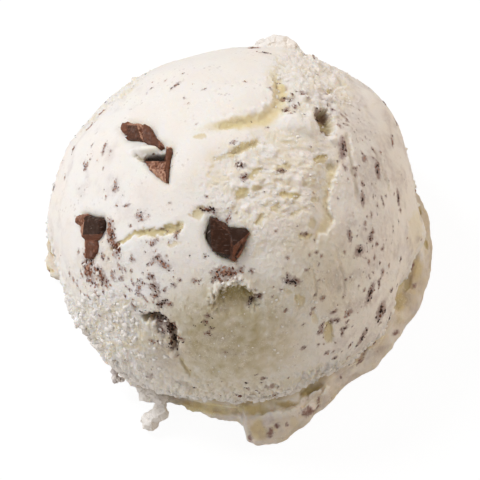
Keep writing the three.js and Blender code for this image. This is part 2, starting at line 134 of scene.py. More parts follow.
# Cracks and slits, as (line, half width, depth, height of its lips, how much painted yellow glow).
# Their depth also sets how much shade is painted in them.
CRACKS = (
    (((-18.9, -4.8), (-17.6, -3.7), (-16, -2.6), (-14.7, -1.8), (-12.8, -1.8)), 0.3, 0.25, 0.05, 1),
    (((-14.7, -1.8), (-12.8, -1.7), (-10.6, -1.6), (-8, -1.3), (-7.2, 0.2)), 0.5, 0.3, 0.06, 1),
    (((-13.8, -15.2), (-12.5, -14.9), (-11.2, -14.6)), 0.5, 0.9, 0.1, 0.4),
    (((-9.3, -15.8), (-8.6, -17.3), (-8.6, -18.9), (-8.3, -20)), 0.5, 0.8, 0.15, 0.4),
    (((-7.9, -21.4), (-7.2, -22.9), (-6, -24.6)), 0.22, 0.3, 0.05, 0.8),
    (((18, 14.6), (18.7, 10.5), (19.6, 6.6), (20.2, 3.4)), 0.3, 0.2, 0.14, 0.1),
    (((22.4, 11.8), (24.2, 7.8), (25.6, 4)), 0.25, 0.12, 0.1, 0.1),
    (((16.2, -3.6), (17.6, -8), (18.2, -12)), 0.25, 0.1, 0.08, 0.2),
    (((12.4, -6.4), (13.4, -9.6), (13, -12.6)), 0.2, 0.1, 0.1, 0.3),
)

# Hollows, as (right, up, half width, half height, turn, depth, how much painted yellow glow).
# Their depth also sets how much shade is painted in them.
HOLLOWS = (
    (-11.8, -14.9, 1.5, 0.7, 0, 1.1, 0.2), (-10.2, -16.8, 1.2, 1.7, 25, 0.5, 0.1),
    (14.9, 15.6, 1.25, 2.2, 17, 2.2, 1), (-12.7, 9.9, 2, 0.5, -4, 0.6, 0.3),
    (-4.8, 1.4, 1.3, 0.8, 35, 0.36, 0.8), (-9.3, -1.1, 1.3, 0.7, 15, 0.36, 1),
    (0.3, 15, 2.4, 0.6, 8, 0.24, 1), (2.4, 11.6, 2.4, 0.6, 20, 0.3, 1),
    (-4.6, 13.2, 1, 0.35, 10, 0.18, 0.7), (-1.4, 9.9, 1.1, 0.35, 8, 0.24, 0.7),
    (9.1, 12.3, 1.4, 0.35, 4, 0.21, 0.5), (14.4, 9.8, 1.2, 0.7, 5, 0.42, 1),
    (8.3, 8.5, 1.4, 0.5, 10, 0.24, 0.8), (3.8, 7.4, 1.5, 0.5, 42, 0.27, 0.9),
    (1.9, 4.3, 1.2, 0.8, 12, 0.3, 1), (4.4, 5.1, 0.9, 0.4, 20, 0.24, 0.8), (9.3, 4, 1.8, 0.5, -6, 0.3, 1),
    (12.6, 6.2, 1.2, 0.45, 20, 0.21, 0.6), (7.2, 2.1, 0.9, 0.5, 35, 0.24, 0.8),
    (4.8, 0.4, 1, 0.45, 48, 0.24, 0.9), (11.8, -2.4, 1.2, 0.4, 5, 0.3, 0.9),
    (16, 8.5, 0.7, 0.6, 20, 0.36, 0.7), (13, -0.3, 0.6, 0.9, 0, 0.24, 0.6),
    (13.4, 3.4, 0.9, 0.3, 10, 0.21, 0.6), (10.2, 1.2, 0.8, 0.35, 20, 0.21, 0.6),
    (-8.8, -3.6, 0.9, 0.4, 10, 0.18, 0.6), (16, 20.6, 0.5, 0.8, 0, 0.24, 1),
    (10.9, -12.3, 0.8, 1.2, 10, 0.27, 0.8), (9, -10.8, 0.7, 0.5, 0, 0.18, 0.7),
    (15.6, -17.5, 0.7, 1.6, -4, 0.42, 0.9), (13.4, -15.2, 0.5, 1.1, 20, 0.18, 0.5),
    (7, -12.6, 0.5, 1.2, -30, 0.15, 0.5), (29.6, -1.6, 1.5, 3.6, -6, 0.03, 0.35),
)

# Smooth mounds, as (right, up, half length, half width, turn, height).
MOUNDS = (
    (10.8, 15.2, 3.2, 1.9, -10, 1.5), (-12.9, 11.3, 3, 0.7, -7, 0.8), (-8.8, -20.8, 0.75, 0.85, 0, 0.9),
    (-8, -25.4, 2.2, 0.95, -10, 0.7), (-6.7, -26, 0.8, 0.75, 0, 0.8), (2.4, 19.6, 5.5, 4.6, 16, 0.3),
    (7, 28.6, 2.6, 1.6, 0, 1.2), (10.1, 28, 1.4, 1.7, 0, 1), (-23.7, -15.8, 1.2, 1, 0, 0.9),
    (-21.1, -19.2, 1.2, 0.9, 0, 0.8), (-18.9, -20.8, 1, 0.7, 0, 0.6), (-19, -22.4, 1.1, 0.8, 0, 0.7),
    (-16.5, -21.8, 0.7, 0.5, 20, 0.6), (-14.2, -22.4, 0.7, 0.45, -20, 0.5),
    (-15.7, -23.8, 0.6, 0.5, 0, 0.6), (-12.5, -23.7, 0.8, 0.45, 0, 0.5), (-14.1, -25, 0.6, 0.5, 0, 0.55),
    (16, 12.6, 0.8, 0.6, 0, 0.8),
)

# Purple-grey smears of chocolate dust, as (right, up, half width, half height, turn, strength).
SMEARS = (
    (17.6, 11.5, 0.8, 2.2, 0, 1), (15, 19, 1.8, 1, -45, 0.7), (18.2, 18.8, 1.6, 0.6, -20, 0.6),
    (20.5, 14.5, 3.5, 2.4, -40, 0.5), (22, 8, 3, 5, -15, 0.6), (25.1, 12.5, 0.9, 1.6, -20, 0.6),
    (23, -3, 3, 6, 5, 0.35), (-10.2, -16.6, 1.9, 1.5, -30, 1), (-9.8, -21, 2.2, 2.6, 20, 0.5),
    (0.2, -20.6, 1.5, 0.5, 0, 0.5), (-1.6, -18, 2.4, 0.6, 0, 0.35), (-20.5, -6, 3.4, 4, 0, 0.3),
    (-18.2, 5.8, 1.2, 1.6, 0, 0.35), (-11.2, -5.8, 2.2, 1.2, -30, 0.4),
)

# Patches of painted warm shade, yellowed and darkened, as (right, up, half width, half height, turn,
# strength).
WARM_PATCHES = (
    (-0.5, -18, 12, 9.5, 0, 0.62),
    (14, -8, 7, 9, 20, 0.25),
    (2, -10.5, 6, 3, 0, 0.3),
)

# What the front shows of the skirt: hollows as above, ridges as (line, half width, height) and
# dark spots under its surface as (right, up, half length, half width, turn).
SKIRT_HOLLOWS = (
    (3, -29.8, 3.4, 0.9, -2, 0.08, 1), (-4, -29.7, 4.8, 1.1, -8, 0.08, 0.9),
    (4.6, -33, 1.3, 1.8, 0, 0.08, 0.7), (9, -29, 2.2, 0.6, 8, 0.25, 0.9),
    (12.8, -26.8, 2.2, 0.8, 38, 0.7, 0.8), (27.4, -12.8, 1.2, 1.8, -18, 0.1, 0.8),
    (28.4, -9.8, 0.6, 1.5, -15, 0.4, 0.6), (29.8, -7.2, 1.3, 2.2, -5, 0.1, 0.6),
    (30.2, -1.8, 1.2, 2.4, -5, 0.2, 0.7), (29.8, 2.2, 0.8, 1.4, 0, 0.9, 0.7),
)
SKIRT_RIDGES = (
    (((-9.5, -29.6), (-4, -30.4), (0, -30.8), (4, -31.4)), 0.4, 0.25),
    (((2.6, -31.6), (6, -30.8), (9.5, -30.4), (12.6, -29.6), (15, -27.6)), 0.55, 0.7),
    (((12.4, -28.2), (14.6, -26.8)), 0.4, 0.5),
    (((11, -28.6), (12.4, -27.4)), 0.35, 0.45),
    (((14.6, -28.2), (16.2, -26.4)), 0.35, 0.4),
    (((17.5, -25.5), (20.5, -23), (23.5, -20)), 0.7, 0.35),
    (((30.6, -8), (31.2, -2), (31.4, 3)), 0.6, 0.3),
)
SKIRT_SPOTS = (
    (7.8, -32.5, 0.55, 0.5, 0), (6.4, -33.7, 0.8, 0.6, 30), (12.4, -30.3, 1.3, 0.75, 10),
    (13.9, -29.5, 0.6, 0.35, 30), (3.3, -34.4, 0.4, 0.8, 0), (14.1, -28.6, 0.6, 0.3, 30),
    (17.6, -24.9, 0.35, 0.25, 0), (16.4, -23.9, 0.35, 0.3, 0), (29.5, -10.1, 0.6, 0.4, 20),
    (29.1, -7.2, 0.3, 0.9, 0), (31.8, -2.9, 0.3, 0.5, 0), (26.6, -17.8, 0.7, 0.4, 50),
    (20.9, -22.2, 0.8, 0.3, 40), (-11.2, -29.4, 0.4, 0.3, 0), (9.4, -32.2, 0.3, 0.25, 0),
)

# The grain of the ice cream runs away from this place, where the scoop turned.
GRAIN_POLE = (17.6, 16)

# ---- chocolate

# Chunks that show: where their middles are seen, their outlines as seen, and their lobes. A lobe
# is cut by facets, the lowest of which is its surface, and the highest lobe shows. A facet is
# (right, up, height there, fall to the right, fall upwards, tone from dark to tan). The tones
# near 0, on chunk_left_lower's steep facet under the ice cream strip and chunk_middle's left
# facet, are painted shadow.
CHUNKS = (
    {
        "node": "chunk_left_upper", "right": -14.1, "up": 13.8, "depth": 2.6,
        "outline": (
            (-3, 0.7), (-2.5, 1.5), (-1.6, 1.8), (0.2, 1.5), (1.6, 1), (2.4, -0.5),
            (3.4, -1.6), (3.6, -2), (3.1, -2.4), (2.4, -1.9), (1, -1.5), (0.6, -1.2),
            (-1.4, -1), (-2.1, -0.8), (-1.6, -0.2), (-2.6, 0.1),
        ),
        "lobes": (
            ((-2.3, 0.8, 0.6, 0.15, 0.1, 0.54), (-2.8, 0.8, 0.5, -1.2, 0.2, 0.66),
             (-1.8, 0.8, 0.45, 1.4, 0, 0.5)),
            ((-0.8, 0.1, 0.62, -0.12, -0.3, 0.4), (-0.8, 1, 0.75, 0, 1, 0.86),
             (0.25, 0.1, 0.6, 1.6, 0.1, 0.8), (-1.8, 0, 0.5, -1, 0, 0.45)),
            ((1.4, 0, 0.45, 0.25, -0.35, 0.46), (2.2, 0.4, 0.4, 1.1, 0.7, 0.78),
             (0.7, 0, 0.4, -1.5, 0, 0.62)),
            ((3.8, -2.2, 0.55, 0.4, 0.4, 0.92), (3.4, -2.2, 0.45, -1.2, 0, 0.6)),
        ),
    },
    {
        "node": "chunk_left_lower", "right": -11.2, "up": 8.8, "depth": 3,
        "outline": (
            (2, 2.8), (2.1, 2), (1.9, 0.9), (1.7, -0.7), (1.5, -2.8), (0.8, -2.5),
            (-0.3, -1.6), (-1.3, -0.7), (-1.8, 0.3), (-2.6, 1), (-1.9, 1.7), (0.3, 1.8),
            (1.2, 1.9), (1.3, 2.8),
        ),
        "lobes": (
            ((0.4, -0.2, 0.42, -0.12, 0.08, 0.68), (0, -0.9, 0.4, -0.2, -0.3, 0.96),
             (1.4, 0, 0.5, 1.3, 0, 0.55), (0.3, 0.5, 0.35, 0, 2.6, 0.02)),
            ((1.75, 0.5, 0.55, 0.5, 0, 0.54), (1.45, 0.5, 0.45, -1.8, 0, 0.45),
             (1.8, 2.4, 0.55, 0, 0.6, 0.9)),
        ),
    },
    {
        "node": "chunk_far_left", "right": -22.1, "up": -2.2, "depth": 3.2,
        "outline": (
            (-2.3, 2.4), (-1.8, 3.1), (-1.1, 3.3), (0.4, 2.8), (1.6, 2.7), (2, 1.9),
            (2, 0.8), (1.5, -0.1), (0.9, -0.9), (1.1, -1.8), (0.8, -2.8), (0.1, -3.7),
            (-0.8, -3.6), (-1, -2.2), (-1, -0.9), (-1.5, 0.6), (-1.8, 1.5),
        ),
        "lobes": (
            ((0.4, 1.3, 0.6, 0.05, 0.02, 0.24), (-0.9, 1.3, 0.5, -0.7, 0.1, 0.8),
             (0.4, 2.4, 0.5, 0.1, 0.55, 0.26), (1.7, 1.3, 0.5, 0.7, 0.1, 0.22),
             (0.4, 0, 0.45, 0.1, -0.9, 0.55)),
            ((-1.7, 2.6, 0.7, 0.1, 0.1, 0.64), (-1, 2.8, 0.6, 0.7, 0.2, 0.58),
             (-2.1, 2.5, 0.5, -1.1, 0, 0.7), (-1.5, 1.9, 0.4, 0, -0.8, 0.6)),
            ((0, -2.2, 0.32, 0.1, -0.05, 0.47), (-0.7, -2.2, 0.28, -0.9, 0, 0.8),
             (0.7, -2.2, 0.25, 0.9, 0, 0.5), (0, -0.9, 0.2, 0, 1, 0.5)),
        ),
    },
    {
        "node": "chunk_middle", "right": -0.3, "up": -2.7, "depth": 3.6,
        "outline": (
            (-2.7, 3.4), (-1.6, 2.9), (-0.5, 2.4), (0.3, 1.7), (1.7, 1.6), (2.8, 1.5),
            (3.4, 0.9), (3.1, 0.4), (2.7, -0.7), (2.5, -1.5), (2, -2.5), (1.1, -3.6),
            (0.3, -3.1), (-0.9, -2.8), (-2.1, -2), (-2.8, -1.2), (-3.5, 0), (-3.5, 0.7),
            (-3.2, 1.7), (-2.9, 2.5),
        ),
        "lobes": (
            ((-0.5, -0.5, 0.5, 0, 0.04, 0.32), (-2.6, 0, 0.5, -1.5, 0, 0.04),
             (-1.1, 1.9, 0.5, 0.55, 0.7, 0.36), (-0.9, -2.2, 0.5, -0.32, -1.15, 0.1),
             (2.5, -1.3, 0.4, 0.7, -0.43, 0.58)),
            ((1.6, 0.8, 0.4, 0.05, 0.5, 0.2), (2.9, 0.5, 0.35, 0.8, -0.4, 0.55),
             (0.35, 0.8, 0.4, -1.6, 0, 0.35)),
        ),
    },
)
BACK_LOBES = (
    ((0, 0, 0.55, 0.1, 0.15, 0.3), (1.2, 0, 0.5, 0.7, 0, 0.55), (0, -1, 0.5, 0.1, -0.8, 0.7),
     (-1.5, 0.5, 0.5, -0.6, 0.3, 0.2)),
)
BACK_CHUNKS = (
    {"node": "chunk_back_left", "polar": 94, "azimuth": 116, "sides": 6, "reach": (3.2, 2.4),
     "turn": 12},
    {"node": "chunk_back_middle", "polar": 90, "azimuth": 91, "sides": 5, "reach": (2.6, 2),
     "turn": -8},
    {"node": "chunk_back_right", "polar": 94, "azimuth": 66, "sides": 7, "reach": (3.4, 2.4),
     "turn": -14},
)
BACK_CHUNK_DEPTH = 3.2
BACK_CHUNK_UNEVEN = 0.22

# Flecks that show, as (right, up, half length, half width, turn, tone from dark to tan).
FLECKS = (
    (-20.8, 17.8, 0.7, 0.4, 45, 0.7), (-22.6, 15.4, 0.55, 0.45, 0, 0.72),
    (-25.3, 11.7, 0.55, 0.45, 70, 0.6), (-19.8, 11.5, 0.9, 0.3, 60, 0.5),
    (-23, 8.8, 0.6, 0.45, 60, 0.6), (-26.7, 7.2, 0.4, 0.35, 90, 0.75),
    (-18.4, 5.6, 0.85, 0.35, 70, 0.62), (-16.2, 2.6, 0.6, 0.25, 10, 0.4),
    (-14.2, 1, 0.65, 0.45, 0, 0.6), (-13.8, 0.2, 0.35, 0.3, 0, 0.7),
    (1.6, 8.8, 0.6, 0.5, 0, 0.35), (2.2, 6.9, 0.5, 0.5, 0, 0.62), (0.6, 12.2, 0.45, 0.3, 20, 0.7),
    (8, 7.9, 0.5, 0.35, 0, 0.6), (-12, -3.4, 0.5, 0.4, 30, 0.5), (-8.3, -1.9, 0.6, 0.35, 60, 0.5),
    (-10.2, -6.7, 1, 0.5, -35, 0.42), (-11.4, -5.6, 0.7, 0.35, 30, 0.35),
    (-18.9, -1.6, 1.5, 0.75, 100, 0.6), (-18, -3.9, 1.5, 0.7, 115, 0.5),
    (-22.4, -7.6, 1.7, 1, 110, 0.55), (-20.2, -8.6, 1.5, 0.8, -40, 0.5),
    (-21, -9.9, 0.5, 0.3, 0, 0.4), (-12.2, -8.6, 0.55, 0.5, 0, 0.45),
    (-11.7, -10.1, 0.6, 0.55, 0, 0.4), (-11.5, -11.5, 0.5, 0.45, 0, 0.35),
    (-10.6, -12.8, 0.8, 0.5, 40, 0.3), (-14.2, -11.2, 0.4, 0.35, 0, 0.45),
    (-12.2, -14.9, 1.4, 0.55, 10, 0.12), (-10.7, -15.1, 1, 0.7, -30, 0.15),
    (-8.7, -18.9, 1.1, 0.5, 100, 0.12), (-9.4, -17, 1.1, 0.55, 120, 0.18),
    # Three nearly black flecks in the gap under the ice cream strip: chocolate, with the gap's shadow painted
    # into their darkest tones.
    (-12.3, 9.95, 1.3, 0.4, 0, 0.03), (-13.2, 9.8, 0.6, 0.35, 0, 0.05), (-11.6, 9.6, 0.9, 0.3, 0, 0.1),
    (14, 15.8, 1.9, 0.55, 100, 0.08), (14.9, 17.1, 0.8, 0.5, -20, 0.2), (15.2, 14.2, 0.7, 0.4, 60, 0.35),
    (-3.7, -5.4, 0.3, 0.3, 0, 0.3), (-0.8, -8, 1.4, 0.8, 0, 0.6), (-2.2, -8.8, 0.7, 0.4, 30, 0.55),
    (1.6, -7.7, 0.4, 0.35, 0, 0.6), (3.4, -7.7, 0.35, 0.35, 0, 0.65), (-3.4, 1.8, 1.2, 0.4, -8, 0.28),
    (-0.2, 0.5, 0.7, 0.3, 70, 0.66), (-5.4, -9.3, 0.5, 0.35, 0, 0.6), (-24.2, -4.8, 0.3, 0.4, 0, 0.5),
    (-25.6, -14.2, 1.2, 0.6, 100, 0.68), (-22.8, -18.2, 0.5, 0.5, 0, 0.3),
    (-8.4, 21.4, 0.9, 0.25, 30, 0.5), (-4, 20.6, 0.4, 0.2, 20, 0.6),
    (3.8, 28, 0.8, 0.5, 20, 0.68), (5.6, 26.9, 0.8, 0.3, 0, 0.35), (12.6, 25.8, 0.7, 0.4, -40, 0.35),
    (11.7, 19.8, 0.75, 0.45, -45, 0.5), (8.6, 19.2, 0.45, 0.35, 0, 0.45), (8.8, 17.4, 0.5, 0.35, 30, 0.45),
    (17.6, 11.5, 1.4, 0.45, 90, 0.25), (21.1, 9.9, 0.6, 0.35, 60, 0.4), (23.2, 8, 1.1, 0.4, 115, 0.2),
    (25.1, 12.5, 0.9, 0.3, 110, 0.5), (20.8, 3.5, 0.9, 0.35, 95, 0.15), (26.6, 3.9, 1, 0.4, 105, 0.2),
    (27, 1.8, 0.3, 0.3, 0, 0.65), (18.7, -2.1, 0.9, 0.3, 100, 0.3), (22.1, -2.7, 0.55, 0.45, 0, 0.25),
    (20.3, -4.6, 0.75, 0.65, 0, 0.15), (23.2, -3.5, 0.3, 0.3, 0, 0.3), (24.2, -4.3, 0.35, 0.3, 0, 0.3),
    (21.9, -6.4, 0.4, 0.25, 90, 0.5), (24.2, -8, 0.5, 0.35, 100, 0.6), (26.9, -5.9, 0.45, 0.3, 90, 0.4),
    (22.1, -11.2, 1.4, 0.6, 60, 0.25), (25.3, -10.7, 0.4, 0.3, 0, 0.3), (26.2, -12.2, 0.9, 0.3, 65, 0.3),
    (23.5, -13.9, 1.2, 0.9, 60, 0.32), (24.5, -14.9, 1.1, 0.4, 60, 0.3), (18.7, -14.4, 0.6, 0.45, 0, 0.6),
    (18.1, -16.8, 0.6, 0.35, 0, 0.3), (17, -15.7, 0.4, 0.3, 0, 0.45), (20.5, -18.1, 1.4, 0.45, 45, 0.25),
    (23, -19.2, 1, 0.22, 50, 0.3), (21.4, -20.4, 0.8, 0.4, 25, 0.25), (18.4, -22.1, 0.45, 0.2, 40, 0.3),
    (9.6, -9.2, 1.1, 0.45, -10, 0.12), (4.6, -11.7, 0.5, 0.35, 40, 0.15), (3.5, -12.7, 0.8, 0.3, 50, 0.15),
    (14.6, -12, 0.4, 0.35, 0, 0.4), (14.4, -17.4, 0.5, 0.45, 0, 0.6), (16.8, -15.5, 0.5, 0.3, -20, 0.3),
    (-3.4, -14.7, 0.4, 0.35, 0, 0.45), (-3.8, -15.7, 0.4, 0.4, 0, 0.45), (-2.9, -16.8, 0.35, 0.3, 0, 0.5),
    (-3.5, -17.6, 0.45, 0.35, 0, 0.4), (0.8, -26.9, 0.6, 0.25, -20, 0.2), (1.6, -27.4, 0.7, 0.25, 0, 0.15),
    (3.4, -27.1, 0.5, 0.22, 0, 0.15), (6.1, -27, 1, 0.2, 5, 0.2), (2.7, -26, 0.4, 0.2, 0, 0.2),
    (5.3, -24.4, 0.4, 0.35, 0, 0.4), (11.8, -2, 0.35, 0.3, 0, 0.6),
)

# Where small flecks are strewn on the front, as (right, up, half width, half height, turn, how
# many, largest half size, tone from dark to tan).
FLECK_PATCHES = (
    (21, 10.5, 3, 4.5, -20, 16, 0.38, 0.45), (23, 1.5, 4, 6.5, 10, 26, 0.35, 0.45),
    (23, -9, 4, 5, -30, 28, 0.4, 0.45), (17, -18, 4, 4, 40, 24, 0.4, 0.4),
    (3.5, -26, 6, 1.6, 5, 14, 0.3, 0.3), (-21.2, -8.5, 3.2, 4.2, -20, 44, 0.4, 0.6),
    (-16.5, -9.5, 3.4, 4.2, 10, 22, 0.35, 0.55), (-11.5, -11, 2.6, 4.8, 25, 36, 0.4, 0.5),
    (-9.8, -17.5, 1.6, 3, 10, 24, 0.45, 0.25), (-0.8, -7.8, 2.8, 1.6, 0, 16, 0.3, 0.6),
    (-14, -3.6, 6, 2.4, 10, 24, 0.3, 0.55), (13.5, -9.5, 6, 5, 0, 16, 0.3, 0.5),
    (-21, 9, 3.5, 7, 30, 18, 0.32, 0.65), (10, 18.5, 3, 2, -30, 12, 0.34, 0.55),
    (17, 16.5, 3, 2.5, -30, 14, 0.32, 0.4), (-8, 19.5, 9, 4.5, 20, 12, 0.24, 0.65),
    (0, -4, 17, 17, 0, 40, 0.26, 0.55),
)
FLECK_SEED = 11
CRUMB_SEED = 23
RIM_SEED = 37
BIT_SEED = 53
SMALLEST_FLECK = 0.13
BITS_PER_AREA = 42.0

# Loose lumps on the top edge and under the rim, as (azimuth, radius, height, half size, how
# smeared).
LOOSE_LUMPS = (
    (78, 25.3, 26.6, 1.5, 0), (75, 25.9, 26.9, 1.7, 0), (71.8, 26.2, 26.9, 1.7, 0),
    (69.4, 26.4, 26.8, 1.5, 0), (73, 26.2, 26, 1.9, 0),
    (-112.3, 29, 4.6, 1.15, 0.35), (-111.4, 30.6, 3.2, 1.4, 0), (-113.4, 32.1, 1.8, 1.5, 0),
    (-111.4, 29.8, 3.9, 1, 0.2), (-112.6, 31.4, 2.5, 1.3, 0),
    (-117.5, 29.2, 4.4, 1.1, 0), (-115.5, 28.4, 5.2, 1.3, 0), (-119.6, 28.6, 4.9, 0.8, 0),
    (-128.4, 29.4, 4, 0.8, 1), (-129.8, 28.8, 4.6, 0.6, 0.9), (-127.2, 28.9, 3.6, 0.5, 0.8),
)

# Soft lights, as (name, way from the dome as (right, up, towards the camera), distance and size in
# metres, colour).
LIGHTS = (
    ("key", (-0.52, 0.65, 0.55), 0.55, 0.2, (0.98, 1, 1.05)),
    ("side", (-0.74, -0.58, 0.34), 0.5, 0.4, (0.94, 0.98, 1.06)),
    ("fill", (0.81, 0.32, 0.50), 0.6, 0.7, (1, 0.9, 0.81)),
)
SURROUND_COLOUR = (1, 0.96, 0.91, 1)
FLOOR_HALF = 3.0
AIM_RIGHT = 0.0016
AIM_UP = -0.00288


# ---- number helpers


def smooth(low, high, value):
    """0 below low and 1 above high (or the other way round), with an S-shaped step between."""
    part = np.clip((value - low) / (high - low), 0.0, 1.0)
    return part * part * (3.0 - 2.0 * part)


def lattice_number(cell, seed):
    """A whole number under 2**24 for each lattice cell, mixed from its three indices."""
    x, y, z = (cell[..., axis].astype(np.int64) for axis in range(3))
    mixed = (x * 73856093) ^ (y * 19349663) ^ (z * 83492791) ^ np.int64(seed * 26544357)
    mixed = (mixed ^ (mixed >> 13)) * 1274126177
    mixed = (mixed ^ (mixed >> 15)) * 1911520717
    return (mixed ^ (mixed >> 16)) & 0xFFFFFF


def lattice_vector(cell, seed):
    """Three numbers between -1 and 1 for each lattice cell."""
    drawn = lattice_number(cell, seed)
    return np.stack([(drawn >> shift) & 255 for shift in (0, 8, 16)], -1) / 127.5 - 1.0


def gradient_noise(points, seed):
    """Gradient noise: each cell corner's random slope times the way from it, blended by a fifth
    order step. About -1 to 1, with features one unit across."""
    base = np.floor(points)
    inside = points - base
    step = inside**3 * (inside * (inside * 6.0 - 15.0) + 10.0)
    total = np.zeros(points.shape[:-1])
    for corner in itertools.product((0, 1), repeat=3):
        slope = lattice_vector(base + corner, seed)
        weight = np.prod(np.where(corner, step, 1.0 - step), axis=-1)
        total += weight * np.sum(slope * (inside - corner), axis=-1)
    return total * 1.5


def noise(points, size, octaves, seed):
    """Octaves of gradient noise, each half as wide and half as strong as the one before."""
    total = np.zeros(points.shape[:-1])
    for octave in range(octaves):
        total += gradient_noise(points / size * 2.0**octave, seed + octave) * 0.5**octave
    return total


def nearest_seed(points, size, seed):
    """Distance to the nearest of one random seed point per cell, in cells, and a number that
    belongs to that seed point."""
    scaled = points / size
    base = np.floor(scaled)
    best = np.full(points.shape[:-1], 9.0)
    owner = np.zeros(points.shape[:-1])
    for neighbour in itertools.product((-1, 0, 1), repeat=3):
        cell = base + neighbour
        away = cell + 0.5 + 0.45 * lattice_vector(cell, seed) - scaled
        distance = np.sqrt(np.sum(away * away, axis=-1))
        closer = distance < best
        owner = np.where(closer, lattice_number(cell, seed + 7) / 2**24, owner)
        best = np.where(closer, distance, best)
    return best, owner


def reach_at(points, azimuth):
    """A closed curve of radius against azimuth in degrees, with a smooth step between points."""
    table = np.array(sorted(points))
    start, count = table[0, 0], len(table)
    wrapped = (azimuth - start) % 360.0 + start
    before = np.searchsorted(table[:, 0], wrapped, side="right") - 1
    after = (before + 1) % count
    span = (table[after, 0] - table[before, 0]) % 360.0
    part = (wrapped - table[before, 0]) / span
    part = part * part * (3.0 - 2.0 * part)
    return table[before, 1] + (table[after, 1] - table[before, 1]) * part


def direction_at(polar, azimuth):
    """Unit vectors at polar angles and azimuths in degrees."""
    up, round_ = np.radians(polar), np.radians(azimuth)
    parts = np.broadcast_arrays(np.sin(up) * np.cos(round_), np.sin(up) * np.sin(round_), np.cos(up))
    return np.stack(parts, axis=-1)


def direction_seen(right, up, form):
    """Unit vectors from the dome's middle to places seen at right and up from the front."""
    tilt = form.view_elevation
    radius = form.dome_radius / MM
    right, up = np.asarray(right, float), np.asarray(up, float)
    flat = np.hypot(right, up)
    shrink = np.minimum(flat, radius * 0.9999) / np.maximum(flat, 1e-9)
    right, up = right * shrink, up * shrink
    towards = np.sqrt(radius**2 - right**2 - up**2)
    y = up * math.sin(tilt) - towards * math.cos(tilt)
    z = up * math.cos(tilt) + towards * math.sin(tilt)
    out = np.stack([right, y, z], axis=-1)
    return out / np.linalg.norm(out, axis=-1, keepdims=True)


def seen(points, form):
    """Right, up and towards the camera: the points turned by the view's elevation."""
    tilt = form.view_elevation
    x, y, z = points[..., 0], points[..., 1], points[..., 2]
    return x, y * math.sin(tilt) + z * math.cos(tilt), z * math.sin(tilt) - y * math.cos(tilt)


# ---- dome and skirt


def rim_polar(azimuth, form):
    """The polar angle of the dome's ragged edge: waves, tears and the teeth between them."""
    angle = np.radians(azimuth)
    wave = np.sin(3 * angle + 0.8) + 0.7 * np.sin(7 * angle + 2.1) + 0.5 * np.sin(19 * angle)
    ring = np.stack([np.cos(angle), np.sin(angle), angle * 0], axis=-1) * 28.0
    ragged = noise(ring, 2.4, 3, 41) + noise(ring, 0.8, 3, 45)
    return form.rim_polar / math.radians(1) + RIM_WAVE * wave + 2.5 * ragged


def dome_form(direction, azimuth, form):
    """The dome's plain radius: a sphere, its swellings and the flare out to the rim's reach."""
    polar = np.degrees(np.arccos(np.clip(direction[..., 2], -1, 1)))
    radius = np.full(polar.shape, form.dome_radius / MM)
    for polar_at, azimuth_at, width, height in SWELLINGS:
        middle = direction_at(polar_at, azimuth_at)
        apart = np.degrees(np.arccos(np.clip(direction @ middle, -1, 1)))
        radius += height * np.exp(-((apart / width) ** 2))
    rim = reach_at(RIM_REACH, azimuth) / math.sin(form.rim_polar)
    flare = smooth(*FLARE_POLAR, polar)
    return radius + (np.maximum(rim, radius - 0.5) - radius) * flare


def line_place(right, up, line):
    """Distance from a bent line, counted positive on the left hand of its direction, and how far
    along the line the nearest point is, from 0 to 1."""
    steps = np.hypot(*np.diff(np.array(line), axis=0).T)
    before = np.concatenate([[0.0], np.cumsum(steps)]) / np.sum(steps)
    best = np.full(right.shape, 1e9)
    side, along = np.ones(right.shape), np.zeros(right.shape)
    for number, ((x0, y0), (x1, y1)) in enumerate(zip(line[:-1], line[1:])):
        dx, dy = x1 - x0, y1 - y0
        part = np.clip(((right - x0) * dx + (up - y0) * dy) / (dx * dx + dy * dy), 0, 1)
        ex, ey = right - x0 - part * dx, up - y0 - part * dy
        distance = np.hypot(ex, ey)
        closer = distance < best
        side = np.where(closer, np.where(dx * ey - dy * ex >= 0, 1.0, -1.0), side)
        place_on = before[number] + part * (before[number + 1] - before[number])
        along = np.where(closer, place_on, along)
        best = np.where(closer, distance, best)
    return best * side, along


def outline_distance(x, y, outline):
    """Distance from a closed outline, negative inside it, and the nearest point on it."""
    best = np.full(x.shape, 1e9)
    near_x, near_y = np.zeros(x.shape), np.zeros(x.shape)
    inside = np.zeros(x.shape, dtype=bool)
    for (x0, y0), (x1, y1) in zip(outline, np.roll(outline, -1, axis=0)):
        dx, dy = x1 - x0, y1 - y0
        part = np.clip(((x - x0) * dx + (y - y0) * dy) / (dx * dx + dy * dy), 0, 1)
        on_x, on_y = x0 + part * dx, y0 + part * dy
        distance = np.hypot(x - on_x, y - on_y)
        closer = distance < best
        near_x, near_y = np.where(closer, on_x, near_x), np.where(closer, on_y, near_y)
        best = np.where(closer, distance, best)
        if y0 != y1:
            crosses = ((y0 > y) != (y1 > y)) & (x < x0 + (y - y0) * dx / dy)
            inside = inside ^ crosses
    return np.where(inside, -best, best), near_x, near_y


def patch_radius(right, up, patch):
    """Distance from a turned ellipse's middle, 1 on its outline, and how far across it."""
    turn = math.radians(patch[4])
    a, b = right - patch[0], up - patch[1]
    along = (a * math.cos(turn) + b * math.sin(turn)) / patch[2]
    across = (b * math.cos(turn) - a * math.sin(turn)) / patch[3]
    return np.hypot(along, across), across


def grain_points(direction, form, across, along):
    """Points whose noise is stretched along the meridians of the grain's pole: the way round
    the pole counts `across` cells a radian, and the way from it `along` cells a radian."""
    pole = direction_seen(*GRAIN_POLE, form)
    side = np.cross(pole, (0.0, 0.0, 1.0))
    side /= np.linalg.norm(side)
    other = np.cross(pole, side)
    turn = np.arctan2(direction @ other, direction @ side)
    away = np.arccos(np.clip(direction @ pole, -1, 1))
    return np.stack([np.cos(turn) * across, np.sin(turn) * across, away * along], axis=-1)


